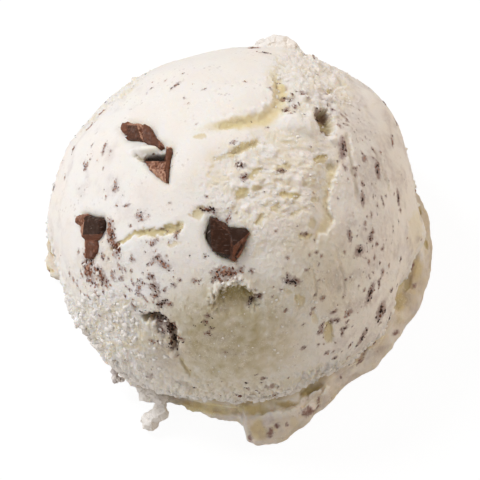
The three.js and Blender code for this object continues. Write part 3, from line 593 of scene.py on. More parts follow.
class Relief:
    """What lies on a plain form: its height in millimetres, and masks from 0 to 1 for the painted
    shade of hollows, the painted yellow glow of light through the cream, and how rough each place is."""

    def __init__(self, shape):
        self.height, self.hollow, self.yellow, self.rough = np.zeros((4, *shape))

    def tint(self, yellow):
        """Makes each place at least as yellow as given: painted yellow glow of light through the cream."""
        self.yellow = np.maximum(self.yellow, yellow)

    def dig(self, shape, depth, yellow):
        """Takes `depth` away where the shape is 1, paints shade in the hollow, darker the deeper it is, and
        paints yellow glow.
        """
        self.height -= depth * shape
        self.hollow = np.maximum(self.hollow, shape * np.minimum(depth / 0.7, 1.0))
        self.tint(yellow * shape)


def fading(along, start, end):
    """1 along a line, rising over its first part up to `start` and falling after `end`."""
    return smooth(0.0, start, along) * smooth(1.0, end, along)


def front_weight(towards):
    """1 on the side that the camera sees, 0 behind, so a feature isn't repeated on the back."""
    return smooth(-1.5, 0.5, towards)


def rough_strength(points, right, up, front):
    """How torn the surface is: the patches seen from the front, and noise patches behind."""
    strength = np.zeros(right.shape)
    for patch in ROUGH_PATCHES:
        radius, _ = patch_radius(right, up, patch)
        strength = np.maximum(strength, patch[5] * smooth(1.25, 0.6, radius))
    behind = 0.85 * smooth(-0.05, 0.35, noise(points, 13.0, 2, 71))
    return front * strength + (1.0 - front) * behind


def grains(points, size, seed):
    """Crumbs of many heights packed side by side: each lattice seed's own height, with a round
    top, from 0 to 1."""
    away, owner = nearest_seed(points, size, seed)
    return owner * smooth(0.66, 0.1, away)


def tear_mask(level, points, busy, seed):
    """Hollows wider than tall, with ragged outlines: in a `busy` share of the cells of a
    stretched lattice, 1 near the cell's middle."""
    warped = level + 0.4 * noise(points, 1.4, 2, seed)[..., None]
    warped = warped + 0.2 * noise(points, 0.5, 2, seed + 2)[..., None] * (0.4, 1.0, 0.4)
    away, owner = nearest_seed(warped / (3.3, 1.6, 3.0), 1.0, seed + 4)
    reach = 0.24 + 0.22 * owner
    return smooth(1.0, 0.7, away / reach) * smooth(busy + 0.05, busy - 0.05, owner)


def lump_shape(direction, ragged, right, up, half_long, half_wide, turn, form):
    """1 at the middle of a lump that lies on the dome and 0 beyond its two half sizes, which are
    measured on the dome, so that a lump on the outline keeps its width. `ragged` roughens its
    sides."""
    middle = direction_seen(right, up, form)
    axes = tangent_axes(middle, turn)
    radius = form.dome_radius / MM
    along = direction @ axes[0] * radius / half_long
    across = direction @ axes[1] * radius / half_wide
    reach = np.hypot(along, across) + ragged
    shape = np.exp(-1.4 * np.maximum(reach, 0.0) ** 3)
    return shape * (direction @ middle > 0.5)


def skin_relief(relief, points, direction, right, up, form):
    """The pressed skin: slow swells, streaks that the scoop drew, a fine grain that is strongest
    away from the smooth upper left, and a crumbling rim."""
    bent = direction + 0.02 * noise(points, 2.2, 2, 17)[..., None] * (1.0, -1.0, 1.0)
    streak = noise(grain_points(bent, form, 40.0, 6.0), 1.0, 3, 13)
    patchy = smooth(-0.4, 0.5, noise(points, 3.0, 2, 15))
    drawn = smooth(-6.0, 8.0, right - 0.4 * up)
    relief.height += 0.35 * noise(points, 9.0, 2, 11)
    relief.height += form.streak_depth / MM * streak * (0.35 + 0.65 * drawn) * patchy
    sandy = 0.25 + 0.75 * smooth(6.0, -8.0, up - 0.7 * right)
    relief.height += 0.03 * noise(points, 0.7, 2, 39)
    relief.height += form.grain_height / MM * sandy * (grains(points, 0.6, 37) - 0.25)
    low = smooth(0.17, -0.06, direction[..., 2]) * (0.3 + 0.7 * smooth(14.0, 4.0, right + 0.3 * up))
    relief.height += 0.35 * low * noise(points, 1.1, 3, 53)
    relief.height += 0.5 * low * (grains(points, 0.8, 55) + 0.5 * grains(points, 0.4, 57) - 0.4)


def torn_relief(relief, points, right, up, towards, front, form):
    """Torn ice cream: low steps between layers with painted yellow glow at their feet, crumbs in drifts
    and clumps, and ragged hollows wider than tall, with painted shade and glow in them."""
    level = np.stack([right * 0.97 + up * 0.22, up * 0.97 - right * 0.22, towards * 0.6], axis=-1)
    torn = smooth(0.1, 0.8, relief.rough)
    field = noise(level * (0.5, 1.0, 0.6), 3.0, 3, 23)
    ledge = smooth(-0.06, 0.16, field) + smooth(-0.46, -0.26, field) - 1.2
    drifts = 0.25 + 0.75 * smooth(-0.25, 0.35, noise(points, 2.0, 2, 35))
    crumbs = grains(points, 0.5, 31) + 0.6 * grains(points, 0.28, 33) - 0.4
    clumped = smooth(0.6, 0.95, relief.rough)
    coarse = 2.2 * clumped * (grains(points, 1.5, 29) + 0.5 * grains(points, 0.8, 27) - 0.45)
    relief.height += torn * form.ledge_depth / MM * ledge
    relief.height += torn * form.crumb_relief / MM * (drifts * (1.0 - 0.7 * clumped) * crumbs + coarse)
    # Painted yellow glow at the feet of the steps and in soft patches.
    foot = torn * smooth(-0.2, -0.05, field) * smooth(0.05, 0.0, field)
    creamy = 0.4 * torn * smooth(0.05, 0.5, noise(points, 2.4, 3, 25))
    relief.tint(np.maximum(creamy, 0.6 * foot))
    relief.yellow *= 1.0 - 0.5 * clumped
    behind = tear_mask(level, points, 0.65, 17) * (1.0 - front)
    small = tear_mask(level * 1.7, points, 0.3, 19) * (0.3 + 0.7 * (1.0 - front))
    tears = np.maximum(behind, 0.75 * small) * torn
    relief.dig(tears, form.tear_depth / MM, 0.9)


def fold_relief(relief, points, right, up, front):
    """The big fold: a thick crumbling lip over a groove painted with yellow glow, a smaller fold under
    it, and the crumbling edge where the torn band ends, with painted yellow shade at its foot."""
    calm = 0.3 * noise(points, 3.6, 2, 7)
    rugged = calm + 0.28 * noise(points, 0.9, 3, 9)
    fold, along = line_place(right + rugged, up + rugged, FOLD_EDGE)
    ends = front * fading(along, 0.35, 0.8)
    lifted = smooth(-0.9, 0.5, fold) * 0.5 * np.exp(-((fold / 4.4) ** 2))
    sunk = smooth(0.3, -0.7, fold) * 0.25 * np.exp(-(((fold + 0.9) / 1.3) ** 2))
    relief.height += ends * (lifted - sunk)
    wide = 0.7 + 1.1 * smooth(0.15, 0.6, along) * smooth(1.0, 0.7, along)
    groove = ends * smooth(0.3, -0.1, fold) * smooth(-1.6, -0.8, fold / wide)
    relief.dig(groove, 0.02, 1.0)
    lip = ends * np.exp(-(((fold - 0.4) / 1.1) ** 2))
    relief.height += lip * (0.5 * (grains(points, 0.9, 51) - 0.3) + 0.2 * noise(points, 1.2, 2, 59))
    second, along = line_place(right + rugged, up + rugged, SECOND_FOLD)
    ends = front * fading(along, 0.25, 0.75)
    relief.height += ends * 0.3 * np.exp(-((second / 1.6) ** 2)) * smooth(-0.2, 0.2, second)
    relief.dig(ends * smooth(0.0, -0.2, second) * smooth(-0.9, -0.5, second), 0.12, 0.9)
    band, along = line_place(right + 2 * calm, up, BAND_EDGE)
    ends = front * fading(along, 0.1, 0.7)
    crumbling = 0.9 * noise(points, 2.6, 3, 47)
    edge = smooth(-0.15, 0.15, band + crumbling)
    relief.height -= ends * 0.6 * (1.0 - edge) * smooth(-3.0, -0.8, band)
    # Painted yellow shade on the low side of the crumbling edge.
    relief.tint(ends * 0.7 * (1.0 - edge) * smooth(-1.4, -0.3, band))


def carved_relief(relief, right, up, ragged, front, form):
    """Flat-floored cracks with low lips, hollows that are deepest under their upper edges, and
    the crater, which runs out downwards from its ragged brow."""
    # Each dig paints shade and yellow glow into its hollow.
    for line, width, depth, lip, yellow in CRACKS:
        away, along = line_place(right, up, line)
        away = np.abs(away)
        ends = front * smooth(-0.01, 0.12, along) * smooth(1.01, 0.88, along)
        relief.height += ends * lip * np.exp(-(((away - 2.0 * width) / width) ** 2))
        relief.dig(ends * smooth(1.35, 0.75, away / width + 2.2 * ragged), depth, yellow)
    for patch in HOLLOWS:
        radius, across = patch_radius(right, up, patch)
        shape = smooth(1.12, 0.88, radius + ragged)
        deeper = 0.7 + 0.3 * smooth(-1.0, 0.6, across)
        relief.dig(front * shape * deeper, patch[5] * (0.65 if patch[5] < 0.5 else 1.0), patch[6])
    radius, across = patch_radius(right, up, CRATER)
    bowl = smooth(1.15, 0.8, radius + 0.9 * ragged) * smooth(-1.1, 0.6, across)
    relief.dig(front * bowl, form.crater_depth / MM, 1.0)
    relief.height += 0.8 * front * bowl * ragged
    relief.rough = np.maximum(relief.rough, front * bowl)
    away, _ = line_place(right, up, CRATER_BROW)
    brow = front * np.exp(-((away / 0.6) ** 2)) * np.clip(1.0 + 4.0 * ragged, 0.0, 2.0)
    relief.height += 0.55 * brow
    relief.yellow *= 1.0 - np.clip(brow, 0, 1)
    relief.rough = np.maximum(relief.rough, 0.9 * brow)


def warm_relief(relief, points, right, up, front):
    """Blotchy patches of painted warm shade: yellow glow and darker colour where the key light falls off, low
    on the front and to the right.
    """
    blotchy = 0.75 + 0.5 * noise(points, 1.6, 3, 49) + 0.2 * noise(points, 0.6, 2, 48)
    for patch in WARM_PATCHES:
        radius, _ = patch_radius(right, up, patch)
        warm = front * patch[5] * blotchy * smooth(1.4, 0.3, radius)
        relief.tint(warm)
        # Painted shade: the warm patches darken like deep hollows.
        relief.hollow = np.maximum(relief.hollow, 1.3 * warm)


def mound_relief(relief, points, direction, form):
    """The named mounds, whose sides are rougher the lower they are."""
    uneven = 0.3 * noise(points, 0.9, 3, 61)
    for right, up, half_long, half_wide, turn, tall in MOUNDS:
        sides = uneven * min(1.0, 0.5 / tall)
        shape = lump_shape(direction, sides, right, up, half_long, half_wide, turn, form)
        relief.height += tall * shape
        relief.yellow *= 1.0 - 0.8 * shape


def dome_relief(points, direction, form):
    """Everything that lies on the plain dome, as a Relief."""
    right, up, towards = seen(points, form)
    front = front_weight(towards)
    warp_right = right + 0.3 * noise(points, 1.3, 3, 3)
    warp_up = up + 0.3 * noise(points, 1.3, 3, 5)
    relief = Relief(right.shape)
    relief.rough = rough_strength(points, warp_right, warp_up, front)
    skin_relief(relief, points, direction, right, up, form)
    torn_relief(relief, points, right, up, towards, front, form)
    fold_relief(relief, points, right, up, front)
    warm_relief(relief, points, warp_right, warp_up, front)
    ragged = 0.3 * noise(points, 0.6, 2, 43)
    carved_relief(relief, warp_right, warp_up, ragged, front, form)
    mound_relief(relief, points, direction, form)
    return relief


def skirt_form(azimuth, part):
    """The skirt's plain radius and height over its base. Each azimuth has a profile that runs out
    from under the dome, over the shoulder, down the edge and back to the foot, with its corners
    evened out."""
    angle = np.radians(azimuth)
    reach = reach_at(SKIRT_REACH, azimuth)
    lumpy = np.sin(5 * angle + 1) + 0.7 * np.sin(12 * angle + 2.2)
    thick = 1 + SKIRT_THICKER_RIGHT * np.cos(angle) + SKIRT_UNEVEN * lumpy
    rim = reach_at(RIM_REACH, azimuth)
    groove = np.minimum(rim, reach) - GROOVE_DEPTH + GROOVE_SHALLOWER_RIGHT * np.cos(angle)
    root = SKIRT_ROOT_HEIGHT * thick
    shoulder = SKIRT_SHOULDER_HEIGHT * thick
    foot = reach - SKIRT_FOOT_INSET
    radius_knots = np.stack([
        groove * 0 + 18.0, groove - 1.5, groove + 0.4, (groove + reach) / 2,
        reach - SKIRT_SHOULDER_INSET, reach - SKIRT_SHOULDER_INSET / 4, reach, foot, foot * 0.6])
    height_knots = np.stack([
        root + 0.6, root + 0.4, root, (root + shoulder) / 2, shoulder,
        (shoulder + SKIRT_EDGE_HEIGHT) / 2, 0 * root + SKIRT_EDGE_HEIGHT, 0 * root, 0 * root])
    stations = (0.0, 0.06, 0.14, 0.34, 0.54, 0.66, 0.78, 0.92, 1.0)
    grids = []
    for knots in (radius_knots, height_knots):
        grid = np.stack([np.interp(part, stations, profile) for profile in knots.T], 1)
        for _ in range(3):
            grid[1:-1] = (grid[:-2] + 2 * grid[1:-1] + grid[2:]) / 4
        grids.append(grid)
    return grids


def skirt_relief(points, angle, form):
    """The skirt's lumps, its named hollows and ridges as seen from the front, the dark spots
    under its surface, and where it is pale."""
    relief = Relief(points.shape[:-1])
    right, up, towards = seen(points, form)
    front = smooth(-9.0, -7.0, towards) * smooth(0.6, 0.0, np.sin(angle))[None]
    relief.height += 0.35 * noise(points, 4.5, 3, 101) + 0.1 * noise(points, 1.1, 3, 107)
    warp_right = right + 0.5 * noise(points, 1.6, 3, 103)
    warp_up = up + 0.5 * noise(points, 1.6, 3, 105)
    for patch in SKIRT_HOLLOWS:
        radius, _ = patch_radius(warp_right, warp_up, patch)
        relief.dig(front * smooth(1.3, 0.5, radius), patch[5], patch[6])
    pale = smooth(-0.1, 0.6, -np.cos(angle))[None] * front
    for line, width, tall in SKIRT_RIDGES:
        away, along = line_place(warp_right, warp_up, line)
        ends = front * fading(along, 0.2, 0.8)
        ridge = ends * np.exp(-((away / width) ** 2))
        relief.height += tall * ridge
        pale = np.maximum(pale, 0.8 * ridge)
    behind = (1.0 - front) * smooth(0.3, 0.55, noise(points, 2.6, 2, 111))
    relief.dig(behind, 0.4, 0.8)
    dots, owner = nearest_seed(points, 2.2, 131)
    stain = 0.8 * (1.0 - front) * smooth(0.3, 0.12, dots) * smooth(0.5, 0.55, owner)
    for spot in SKIRT_SPOTS:
        radius, _ = patch_radius(warp_right, warp_up, spot)
        stain = np.maximum(stain, front * smooth(1.8, 0.0, radius))
    return relief, stain, pale


def set_in_sockets(relief, points, form):
    """Cuts the relief back under each chunk, so that no ice cream covers its top, and lets the
    surface sink a little towards its edge, with a faint painted yellow shade there."""
    for chunk in chunk_frames(form):
        local = (points - chunk["middle"]) @ chunk["axes"].T
        near = np.linalg.norm(local, axis=-1) < 8.0
        away, _, _ = outline_distance(local[near][:, 0], local[near][:, 1], chunk["outline"])
        cut = smooth(0.08, -0.25, away)
        moat = np.exp(-((np.maximum(away, 0.0) / 0.7) ** 2)) * (1.0 - cut)
        sunk = relief.height[near] - 0.22 * moat
        relief.height[near] = sunk * (1.0 - cut) - form.socket_depth / MM * cut
        relief.yellow[near] = np.maximum(relief.yellow[near], 0.2 * moat)


def tuck_under(points, under, form):
    """Turns the dome's last knots in and down behind its ragged edge, the farther the more, but
    not below the floor. `under` runs from 0 at the edge to 1."""
    stations = (0, 0.15, 0.35, 0.6, 1.0)
    inwards = np.interp(under, stations, (0, 0.5, 1.6, 4.0, 12.0))
    drop = np.interp(under, stations, (0, 0.45, 1.0, 2.0, 6.0))
    radial = np.hypot(points[..., 0], points[..., 1])
    shrink = (radial - inwards) / np.maximum(radial, 1e-6)
    points[..., :2] *= np.where(under > 0, shrink, 1.0)[..., None]
    points[..., 2] = np.maximum(points[..., 2] - drop, LOWEST - form.centre_height / MM)


def disk_grid(count):
    """Knots of a square grid laid on a disk, so that squares round the middle become circles.
    Returns how far out each knot is, from 0 to 1, and its azimuth in degrees."""
    side = np.linspace(-1.0, 1.0, count)
    x, y = np.meshgrid(side, side, indexing="ij")
    wide = np.abs(x) >= np.abs(y)
    out = np.maximum(np.abs(x), np.abs(y))
    with np.errstate(divide="ignore", invalid="ignore"):
        angle_wide = 45.0 * y / x + np.where(x < 0, 180.0, 0.0)
        angle_tall = 90.0 - 45.0 * x / y + np.where(y < 0, 180.0, 0.0)
    angle = np.nan_to_num(np.where(wide, angle_wide, angle_tall))
    return out, angle


def crowd_to_front(part, azimuth, shift):
    """Moves knots of a unit disk towards the front, where they show most, and leaves its edge a
    circle: the place z becomes (z - a) / (1 - conj(a) z) with a = shift towards the back."""
    place_in = part * np.exp(1j * np.radians(azimuth))
    lean = 1j * shift
    moved = (place_in - lean) / (1.0 - np.conj(lean) * place_in)
    return np.abs(moved), np.degrees(np.angle(moved))


def grid_faces(rows, columns, wrap):
    """Quads of a grid of knots, whose columns close on themselves where wrap is set."""
    last = columns if wrap else columns - 1
    row, column = np.meshgrid(np.arange(rows - 1), np.arange(last), indexing="ij")
    after = (column + 1) % columns
    corners = (row * columns + column, row * columns + after,
               (row + 1) * columns + after, (row + 1) * columns + column)
    return np.stack(corners, axis=-1).reshape(-1, 4)


def square_border(count):
    """Indices round the border of a square grid, anticlockwise seen from above."""
    index = np.arange(count * count).reshape(count, count)
    return np.concatenate([index[:-1, 0], index[-1, :-1], index[:0:-1, -1], index[0, :0:-1]])


def fan_faces(ring, middle):
    """Triangles from a closed ring of knots to one middle knot."""
    return np.stack([ring, np.full(len(ring), middle), np.roll(ring, -1)], axis=-1)


def disk_faces(count):
    """Faces that close a shape on a disk grid: the grid, and a fan from its border to one more
    knot underneath."""
    return [grid_faces(count, count, wrap=False)[:, ::-1],
            fan_faces(square_border(count), count * count)[:, ::-1]]


# ---- mesh helpers


def place(points):
    """Millimetres from the dome's middle into metres in the frame."""
    form = bpy.context.scene.scoop_form
    middle = np.array([DOME_AXIS[0], DOME_AXIS[1], form.centre_height / MM])
    return (points + middle) * MM


def flat_masks(masks, ends):
    """Masks of a grid as flat arrays from 0 to 1, with a 0 for each of the closing knots."""
    return {name: np.append(np.clip(values, 0, 1).reshape(-1), np.zeros(ends))
            for name, values in masks.items()}


def new_piece(name, points, face_sets, masks, material, replaced=(), round_faces=True):
    """One mesh object from knots in metres and lists of faces, with a smooth surface, its masks
    as attributes and its place in the frame's body."""
    mesh = bpy.data.meshes.new(name)
    loops = np.concatenate([faces.reshape(-1) for faces in face_sets]).astype(np.int32)
    sizes = np.concatenate([np.full(len(faces), faces.shape[1]) for faces in face_sets])
    starts = np.concatenate([[0], np.cumsum(sizes)[:-1]]).astype(np.int32)
    mesh.vertices.add(len(points))
    mesh.vertices.foreach_set("co", np.ascontiguousarray(points, dtype=np.float32).reshape(-1))
    mesh.loops.add(len(loops))
    mesh.loops.foreach_set("vertex_index", loops)
    mesh.polygons.add(len(sizes))
    mesh.polygons.foreach_set("loop_start", starts)
    mesh.polygons.foreach_set("use_smooth", np.full(len(sizes), round_faces))
    mesh.update(calc_edges=True)
    for mask, values in masks.items():
        layer = mesh.attributes.new(mask, "FLOAT", "POINT")
        layer.data.foreach_set("value", np.ascontiguousarray(values, dtype=np.float32).reshape(-1))
    mesh.validate()
    piece = bpy.data.objects.new(name, mesh)
    bpy.context.collection.objects.link(piece)
    mesh.materials.append(material)
    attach(piece, BODY)
    if replaced:
        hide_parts(*replaced)
    return piece


def thin_out(piece, most):
    """Joins the knots of a piece's mesh where that changes its shape least, until no more than
    `most` triangles are left, so that they stay close where its relief is finest."""
    mesh = piece.data
    triangles = len(mesh.loops) - 2 * len(mesh.polygons)
    thinner = piece.modifiers.new("thinner", "DECIMATE")
    thinner.ratio = most / triangles
    with bpy.context.temp_override(object=piece):
        bpy.ops.object.modifier_apply(modifier=thinner.name)


def fleck_places(form, behind):
    """Every fleck: its direction, half length, half width, turn and tone. First the named ones,
    then draws in the front's patches, which lie along the outline where they are near it, then
    `behind` draws over the back."""
    draw = np.random.default_rng(FLECK_SEED)
    rows = []
    for right, up, wide, tall, turn, count, largest, tone in FLECK_PATCHES:
        spot = np.clip(draw.normal(0.0, 0.65, (2, count)), -1.6, 1.6) * ((wide,), (tall,))
        angle = math.radians(turn)
        right_at = right + spot[0] * math.cos(angle) - spot[1] * math.sin(angle)
        up_at = up + spot[0] * math.sin(angle) + spot[1] * math.cos(angle)
        size = SMALLEST_FLECK + (largest - SMALLEST_FLECK) * draw.random(count) ** 1.5
        stretch = 1.0 + 0.5 * draw.random(count)
        around = np.degrees(np.arctan2(right_at, -up_at)) + draw.normal(0.0, 16.0, count)
        way = np.where(np.hypot(right_at, up_at) > 15.0, around, draw.random(count) * 180.0)
        tones = tone + 0.12 * draw.normal(0.0, 1.0, count)
        rows.append(np.stack([right_at, up_at, size * stretch, size / stretch, way, tones], axis=-1))
    placed = np.concatenate(rows)
    placed = placed[np.hypot(placed[:, 0], placed[:, 1]) < 0.985 * form.dome_radius / MM]
    placed = np.concatenate([np.array(FLECKS), placed])
    placed[:, 5] += 0.15 * smooth(-2.0, -10.0, placed[:, 0]) * (placed[:, 5] > 0.3)
    front = direction_seen(placed[:, 0], placed[:, 1], form)
    polar = np.degrees(np.arccos(1.0 - draw.random(behind) * 1.2))
    back = direction_at(polar, draw.random(behind) * 360.0)
    back = back[seen(back, form)[2] < 0.05]
    size = SMALLEST_FLECK + 0.55 * draw.random(len(back)) ** 2.2
    stretch = 1.0 + 0.6 * draw.random(len(back))
    turns = draw.random(len(back)) * 180.0
    tones = 0.45 + 0.14 * draw.normal(0.0, 1.0, len(back))
    rest = np.stack([size * stretch, size / stretch, turns, tones], axis=-1)
    long, wide, turn, tone = np.concatenate([placed[:, 2:], rest]).T
    return np.concatenate([front, back]), long, wide, turn, np.clip(tone, 0.1, 0.85)


def fleck_bits(flecks, form):
    """The angular bits that each fleck is a heap of: one in its middle and smaller ones strewn
    over its ellipse, as many as its area asks for, and fewer of them to the right."""
    direction, long, wide, turn, tone = flecks
    draw = np.random.default_rng(BIT_SEED)
    bare = 1.0 - 0.6 * smooth(7.0, 14.0, direction[:, 0] * form.dome_radius / MM)
    count = np.minimum(1 + (BITS_PER_AREA * bare * long * wide).astype(int), 100)
    owner = np.repeat(np.arange(len(long)), count)
    middle = np.diff(owner, prepend=-1) > 0
    loose = ~middle
    radius = form.dome_radius / MM
    axes = tangent_axes(direction[owner], turn[owner])
    step = draw.normal(0.0, 0.62, (len(owner), 2)) * np.stack([long, wide], -1)[owner] / radius
    step *= loose[:, None]
    placed = direction[owner] + step[:, :1] * axes[:, 0] + step[:, 1:] * axes[:, 1]
    placed /= np.linalg.norm(placed, axis=-1, keepdims=True)
    mean = np.sqrt(long * wide)[owner]
    small = (0.07 + 0.13 * mean) * (0.5 + 0.9 * draw.random(len(owner)))
    size = np.where(middle, (0.6 - 0.6 * np.clip(tone[owner], 0.1, 0.7)) * mean, small)
    size = np.maximum(size, 0.08)
    stretch = np.where(middle, np.sqrt(long / wide)[owner], 1.0 + 0.5 * draw.random(len(owner)))
    turns = turn[owner] + draw.normal(0.0, 35.0, len(owner)) * loose
    tones = np.clip(tone[owner] + draw.normal(0.0, 0.28, len(owner)), 0.03, 0.98)
    return placed, size * stretch, size / stretch, turns, tones


def tangent_axes(direction, turn):
    """Axes of a piece that lies on the dome: along the level line to the right, up the dome and
    out of it, turned by `turn` degrees about the last."""
    across = np.array([1.0, 0.0, 0.0]) - direction * direction[..., :1]
    flat = np.linalg.norm(across, axis=-1, keepdims=True) < 0.35
    across = np.where(flat, np.cross((0.0, 1.0, 0.0), direction), across)
    across /= np.linalg.norm(across, axis=-1, keepdims=True)
    upwards = np.cross(direction, across)
    angle = np.radians(np.asarray(turn, float))[..., None]
    first = across * np.cos(angle) + upwards * np.sin(angle)
    second = upwards * np.cos(angle) - across * np.sin(angle)
    return np.stack([first, second, np.broadcast_to(direction, first.shape)], axis=-2)


def stain_mask(points, directions, long, wide, turns, spread):
    """How strongly chocolate stains each point: 1 over a fleck, fading until `spread` half sizes
    from its middle."""
    axes = tangent_axes(directions, turns)
    stain = np.zeros(len(points))
    radius = np.linalg.norm(points, axis=-1)
    unit = points / radius[:, None]
    order = np.argsort(unit[:, 2])
    level = unit[order, 2]
    for index in range(len(directions)):
        reach = spread * long[index] / radius.max()
        low = np.searchsorted(level, directions[index, 2] - 1.1 * reach)
        high = np.searchsorted(level, directions[index, 2] + 1.1 * reach)
        chosen = order[low:high]
        away = (unit[chosen] - directions[index]) * radius[chosen, None]
        a = away @ axes[index, 0] / long[index]
        b = away @ axes[index, 1] / wide[index]
        stain[chosen] = np.maximum(stain[chosen], smooth(spread, 0.75, np.hypot(a, b)))
    return stain


def smear_mask(points, form):
    """Where chocolate dust clouds the ice cream: the named smears, a haze to the right and at
    the far left, and drifts behind."""
    right, up, towards = seen(points, form)
    front = front_weight(towards)
    haze = 0.55 * smooth(-0.1, 0.5, noise(points, 4.0, 3, 83)) * smooth(9.0, 19.0, right)
    haze += 0.3 * smooth(0.1, 0.6, noise(points, 3.0, 3, 89)) * smooth(-8.0, -18.0, right)
    behind = 0.5 * smooth(0.1, 0.6, noise(points, 4.5, 3, 97))
    smear = front * haze + (1.0 - front) * behind
    ragged = 0.5 * noise(points, 1.2, 3, 91)
    for patch in SMEARS:
        radius, _ = patch_radius(right, up, patch)
        smear = np.maximum(smear, front * patch[5] * smooth(1.5, 0.4, radius + ragged))
    return smear


def torn_crumbs(form, wanted):
    """Crumbs strewn over the dome where it is torn, as lumps."""
    draw = np.random.default_rng(CRUMB_SEED)
    tries = 12 * wanted
    polar = np.degrees(np.arccos(1.0 - draw.random(tries) * 1.22))
    direction = direction_at(polar, draw.random(tries) * 360.0)
    surface, relief = dome_surface(direction, form)
    kept = np.flatnonzero(draw.random(tries) < relief.rough**1.5)[:wanted]
    direction, surface = direction[kept], surface[kept]
    size = (0.08 + 0.2 * draw.random(len(kept)) ** 2.0) * (1.0 + 1.3 * lower_left(surface, form))
    sizes = np.stack([size * 1.25, size, size * 0.8], axis=-1)
    axes = tangent_axes(direction, draw.random(len(kept)) * 180.0)
    return many_lumps(surface - direction * size[:, None] * 0.25, axes, sizes, 1, 0.6, 67)


def rim_crumbs(form, wanted):
    """Crumbs along the ragged edge, most of them at the front and its left, as lumps."""
    draw = np.random.default_rng(RIM_SEED)
    azimuth = draw.random(3 * wanted) * 360.0
    likely = 0.25 + 0.75 * smooth(-20.0, -60.0, (azimuth + 180.0) % 360.0 - 180.0)
    azimuth = azimuth[draw.random(3 * wanted) < likely][:wanted]
    count = len(azimuth)
    polar = rim_polar(azimuth, form) - np.abs(draw.normal(0.0, 2.2, count)) + 0.4
    direction = direction_at(polar, azimuth)
    surface, _ = dome_surface(direction, form)
    size = (0.14 + 0.4 * draw.random(count) ** 2.2) * (1.0 + 0.7 * lower_left(surface, form))
    sizes = np.stack([size * 1.3, size, size * 0.9], axis=-1)
    axes = tangent_axes(direction, draw.normal(0.0, 25.0, count))
    return many_lumps(surface - direction * size[:, None] * 0.35, axes, sizes, 1, 0.6, 69)


def lower_left(points, form):
    """1 low on the left as seen from the front, where the crumbs are the largest."""
    right, up, towards = seen(points, form)
    return front_weight(towards) * smooth(-7.0, -13.0, right) * smooth(-6.0, -12.0, up)


def round_solid(level):
    """A unit ball of triangles: an octahedron whose faces are cut in four `level` times."""
    knots = np.array([(1, 0, 0), (-1, 0, 0), (0, 1, 0), (0, -1, 0), (0, 0, 1), (0, 0, -1)], float)
    faces = np.array([(0, 2, 4), (2, 1, 4), (1, 3, 4), (3, 0, 4), (2, 0, 5), (1, 2, 5), (3, 1, 5), (0, 3, 5)])
    for _ in range(level):
        pairs = np.sort(np.concatenate([faces[:, [0, 1]], faces[:, [1, 2]], faces[:, [2, 0]]]), axis=1)
        edges, index = np.unique(pairs, axis=0, return_inverse=True)
        first, second, third = index.reshape(3, -1) + len(knots)
        knots = np.concatenate([knots, knots[edges].mean(axis=1)])
        a, b, c = faces.T
        faces = np.concatenate([
            np.stack([a, first, third], -1), np.stack([b, second, first], -1),
            np.stack([c, third, second], -1), np.stack([first, second, third], -1)])
    return knots / np.linalg.norm(knots, axis=1, keepdims=True), faces


def many_lumps(centres, axes, sizes, level, uneven, seed):
    """Copies of the round solid, each with its own half sizes, axes and lumpy noise. Returns
    the knots, the faces and the number of knots in a copy."""
    ball, faces = round_solid(level)
    own = np.arange(len(centres))[:, None, None] * (7.31, 3.77, 5.13)
    lumpy = 1.0 + uneven * noise(ball[None] * 1.1 + own, 1.0, 2, seed)
    local = ball[None] * lumpy[..., None] * sizes[:, None, :]
    points = local @ axes + centres[:, None, :]
    shifted = faces[None] + (np.arange(len(centres)) * len(ball))[:, None, None]
    return points.reshape(-1, 3), shifted.reshape(-1, 3), len(ball)


def dome_surface(direction, form):
    """Points of the finished dome in given directions, and its relief there."""
    azimuth = np.degrees(np.arctan2(direction[..., 1], direction[..., 0]))
    plain = direction * dome_form(direction, azimuth, form)[..., None]
    relief = dome_relief(plain, direction, form)
    set_in_sockets(relief, plain, form)
    return plain + direction * relief.height[..., None], relief


# ---- shader groups


def new_group(name, inputs, output):
    """An empty shader node group with named number sockets, and its two end nodes."""
    group = bpy.data.node_groups.new(name, "ShaderNodeTree")
    for label, default in inputs:
        socket = group.interface.new_socket(name=label, in_out="INPUT", socket_type="NodeSocketFloat")
        socket.default_value = default
    group.interface.new_socket(name=output, in_out="OUTPUT", socket_type="NodeSocketFloat")
    return group, group.nodes.new("NodeGroupInput"), group.nodes.new("NodeGroupOutput")


def set_inputs(node, values):
    """Gives a node's sockets plain values."""
    for label, value in values.items():
        node.inputs[label].default_value = value


def add_math(tree, operation, first, second):
    """A Math node fed by sockets or plain numbers; returns its result."""
    node = tree.nodes.new("ShaderNodeMath")
    node.operation = operation
    for slot_index, value in enumerate((first, second)):
        if isinstance(value, (int, float)):
            node.inputs[slot_index].default_value = value
        else:
            tree.links.new(value, node.inputs[slot_index])
    return node.outputs[0]


def multiply(tree, first, second):
    """The product of two sockets or plain numbers."""
    return add_math(tree, "MULTIPLY", first, second)


def add_range(tree, value, low, high, to_low=0.0, to_high=1.0):
    """A smooth Map Range node; returns its result."""
    node = tree.nodes.new("ShaderNodeMapRange")
    node.interpolation_type = "SMOOTHSTEP"
    set_inputs(node, dict(enumerate((low, high, to_low, to_high), start=1)))
    tree.links.new(value, node.inputs[0])
    return node.outputs[0]


def add_noise(tree, vector, scale, detail, roughness=0.5):
    """A Noise Texture whose scale is a number or a socket; returns its factor."""
    node = tree.nodes.new("ShaderNodeTexNoise")
    set_inputs(node, {"Detail": detail, "Roughness": roughness})
    tree.links.new(vector, node.inputs["Vector"])
    if isinstance(scale, (int, float)):
        node.inputs["Scale"].default_value = scale
    else:
        tree.links.new(scale, node.inputs["Scale"])
    return node.outputs[0]


def add_attribute(tree, name):
    """The factor of a mask that the mesh carries."""
    node = tree.nodes.new("ShaderNodeAttribute")
    node.attribute_name = name
    return node.outputs["Fac"]


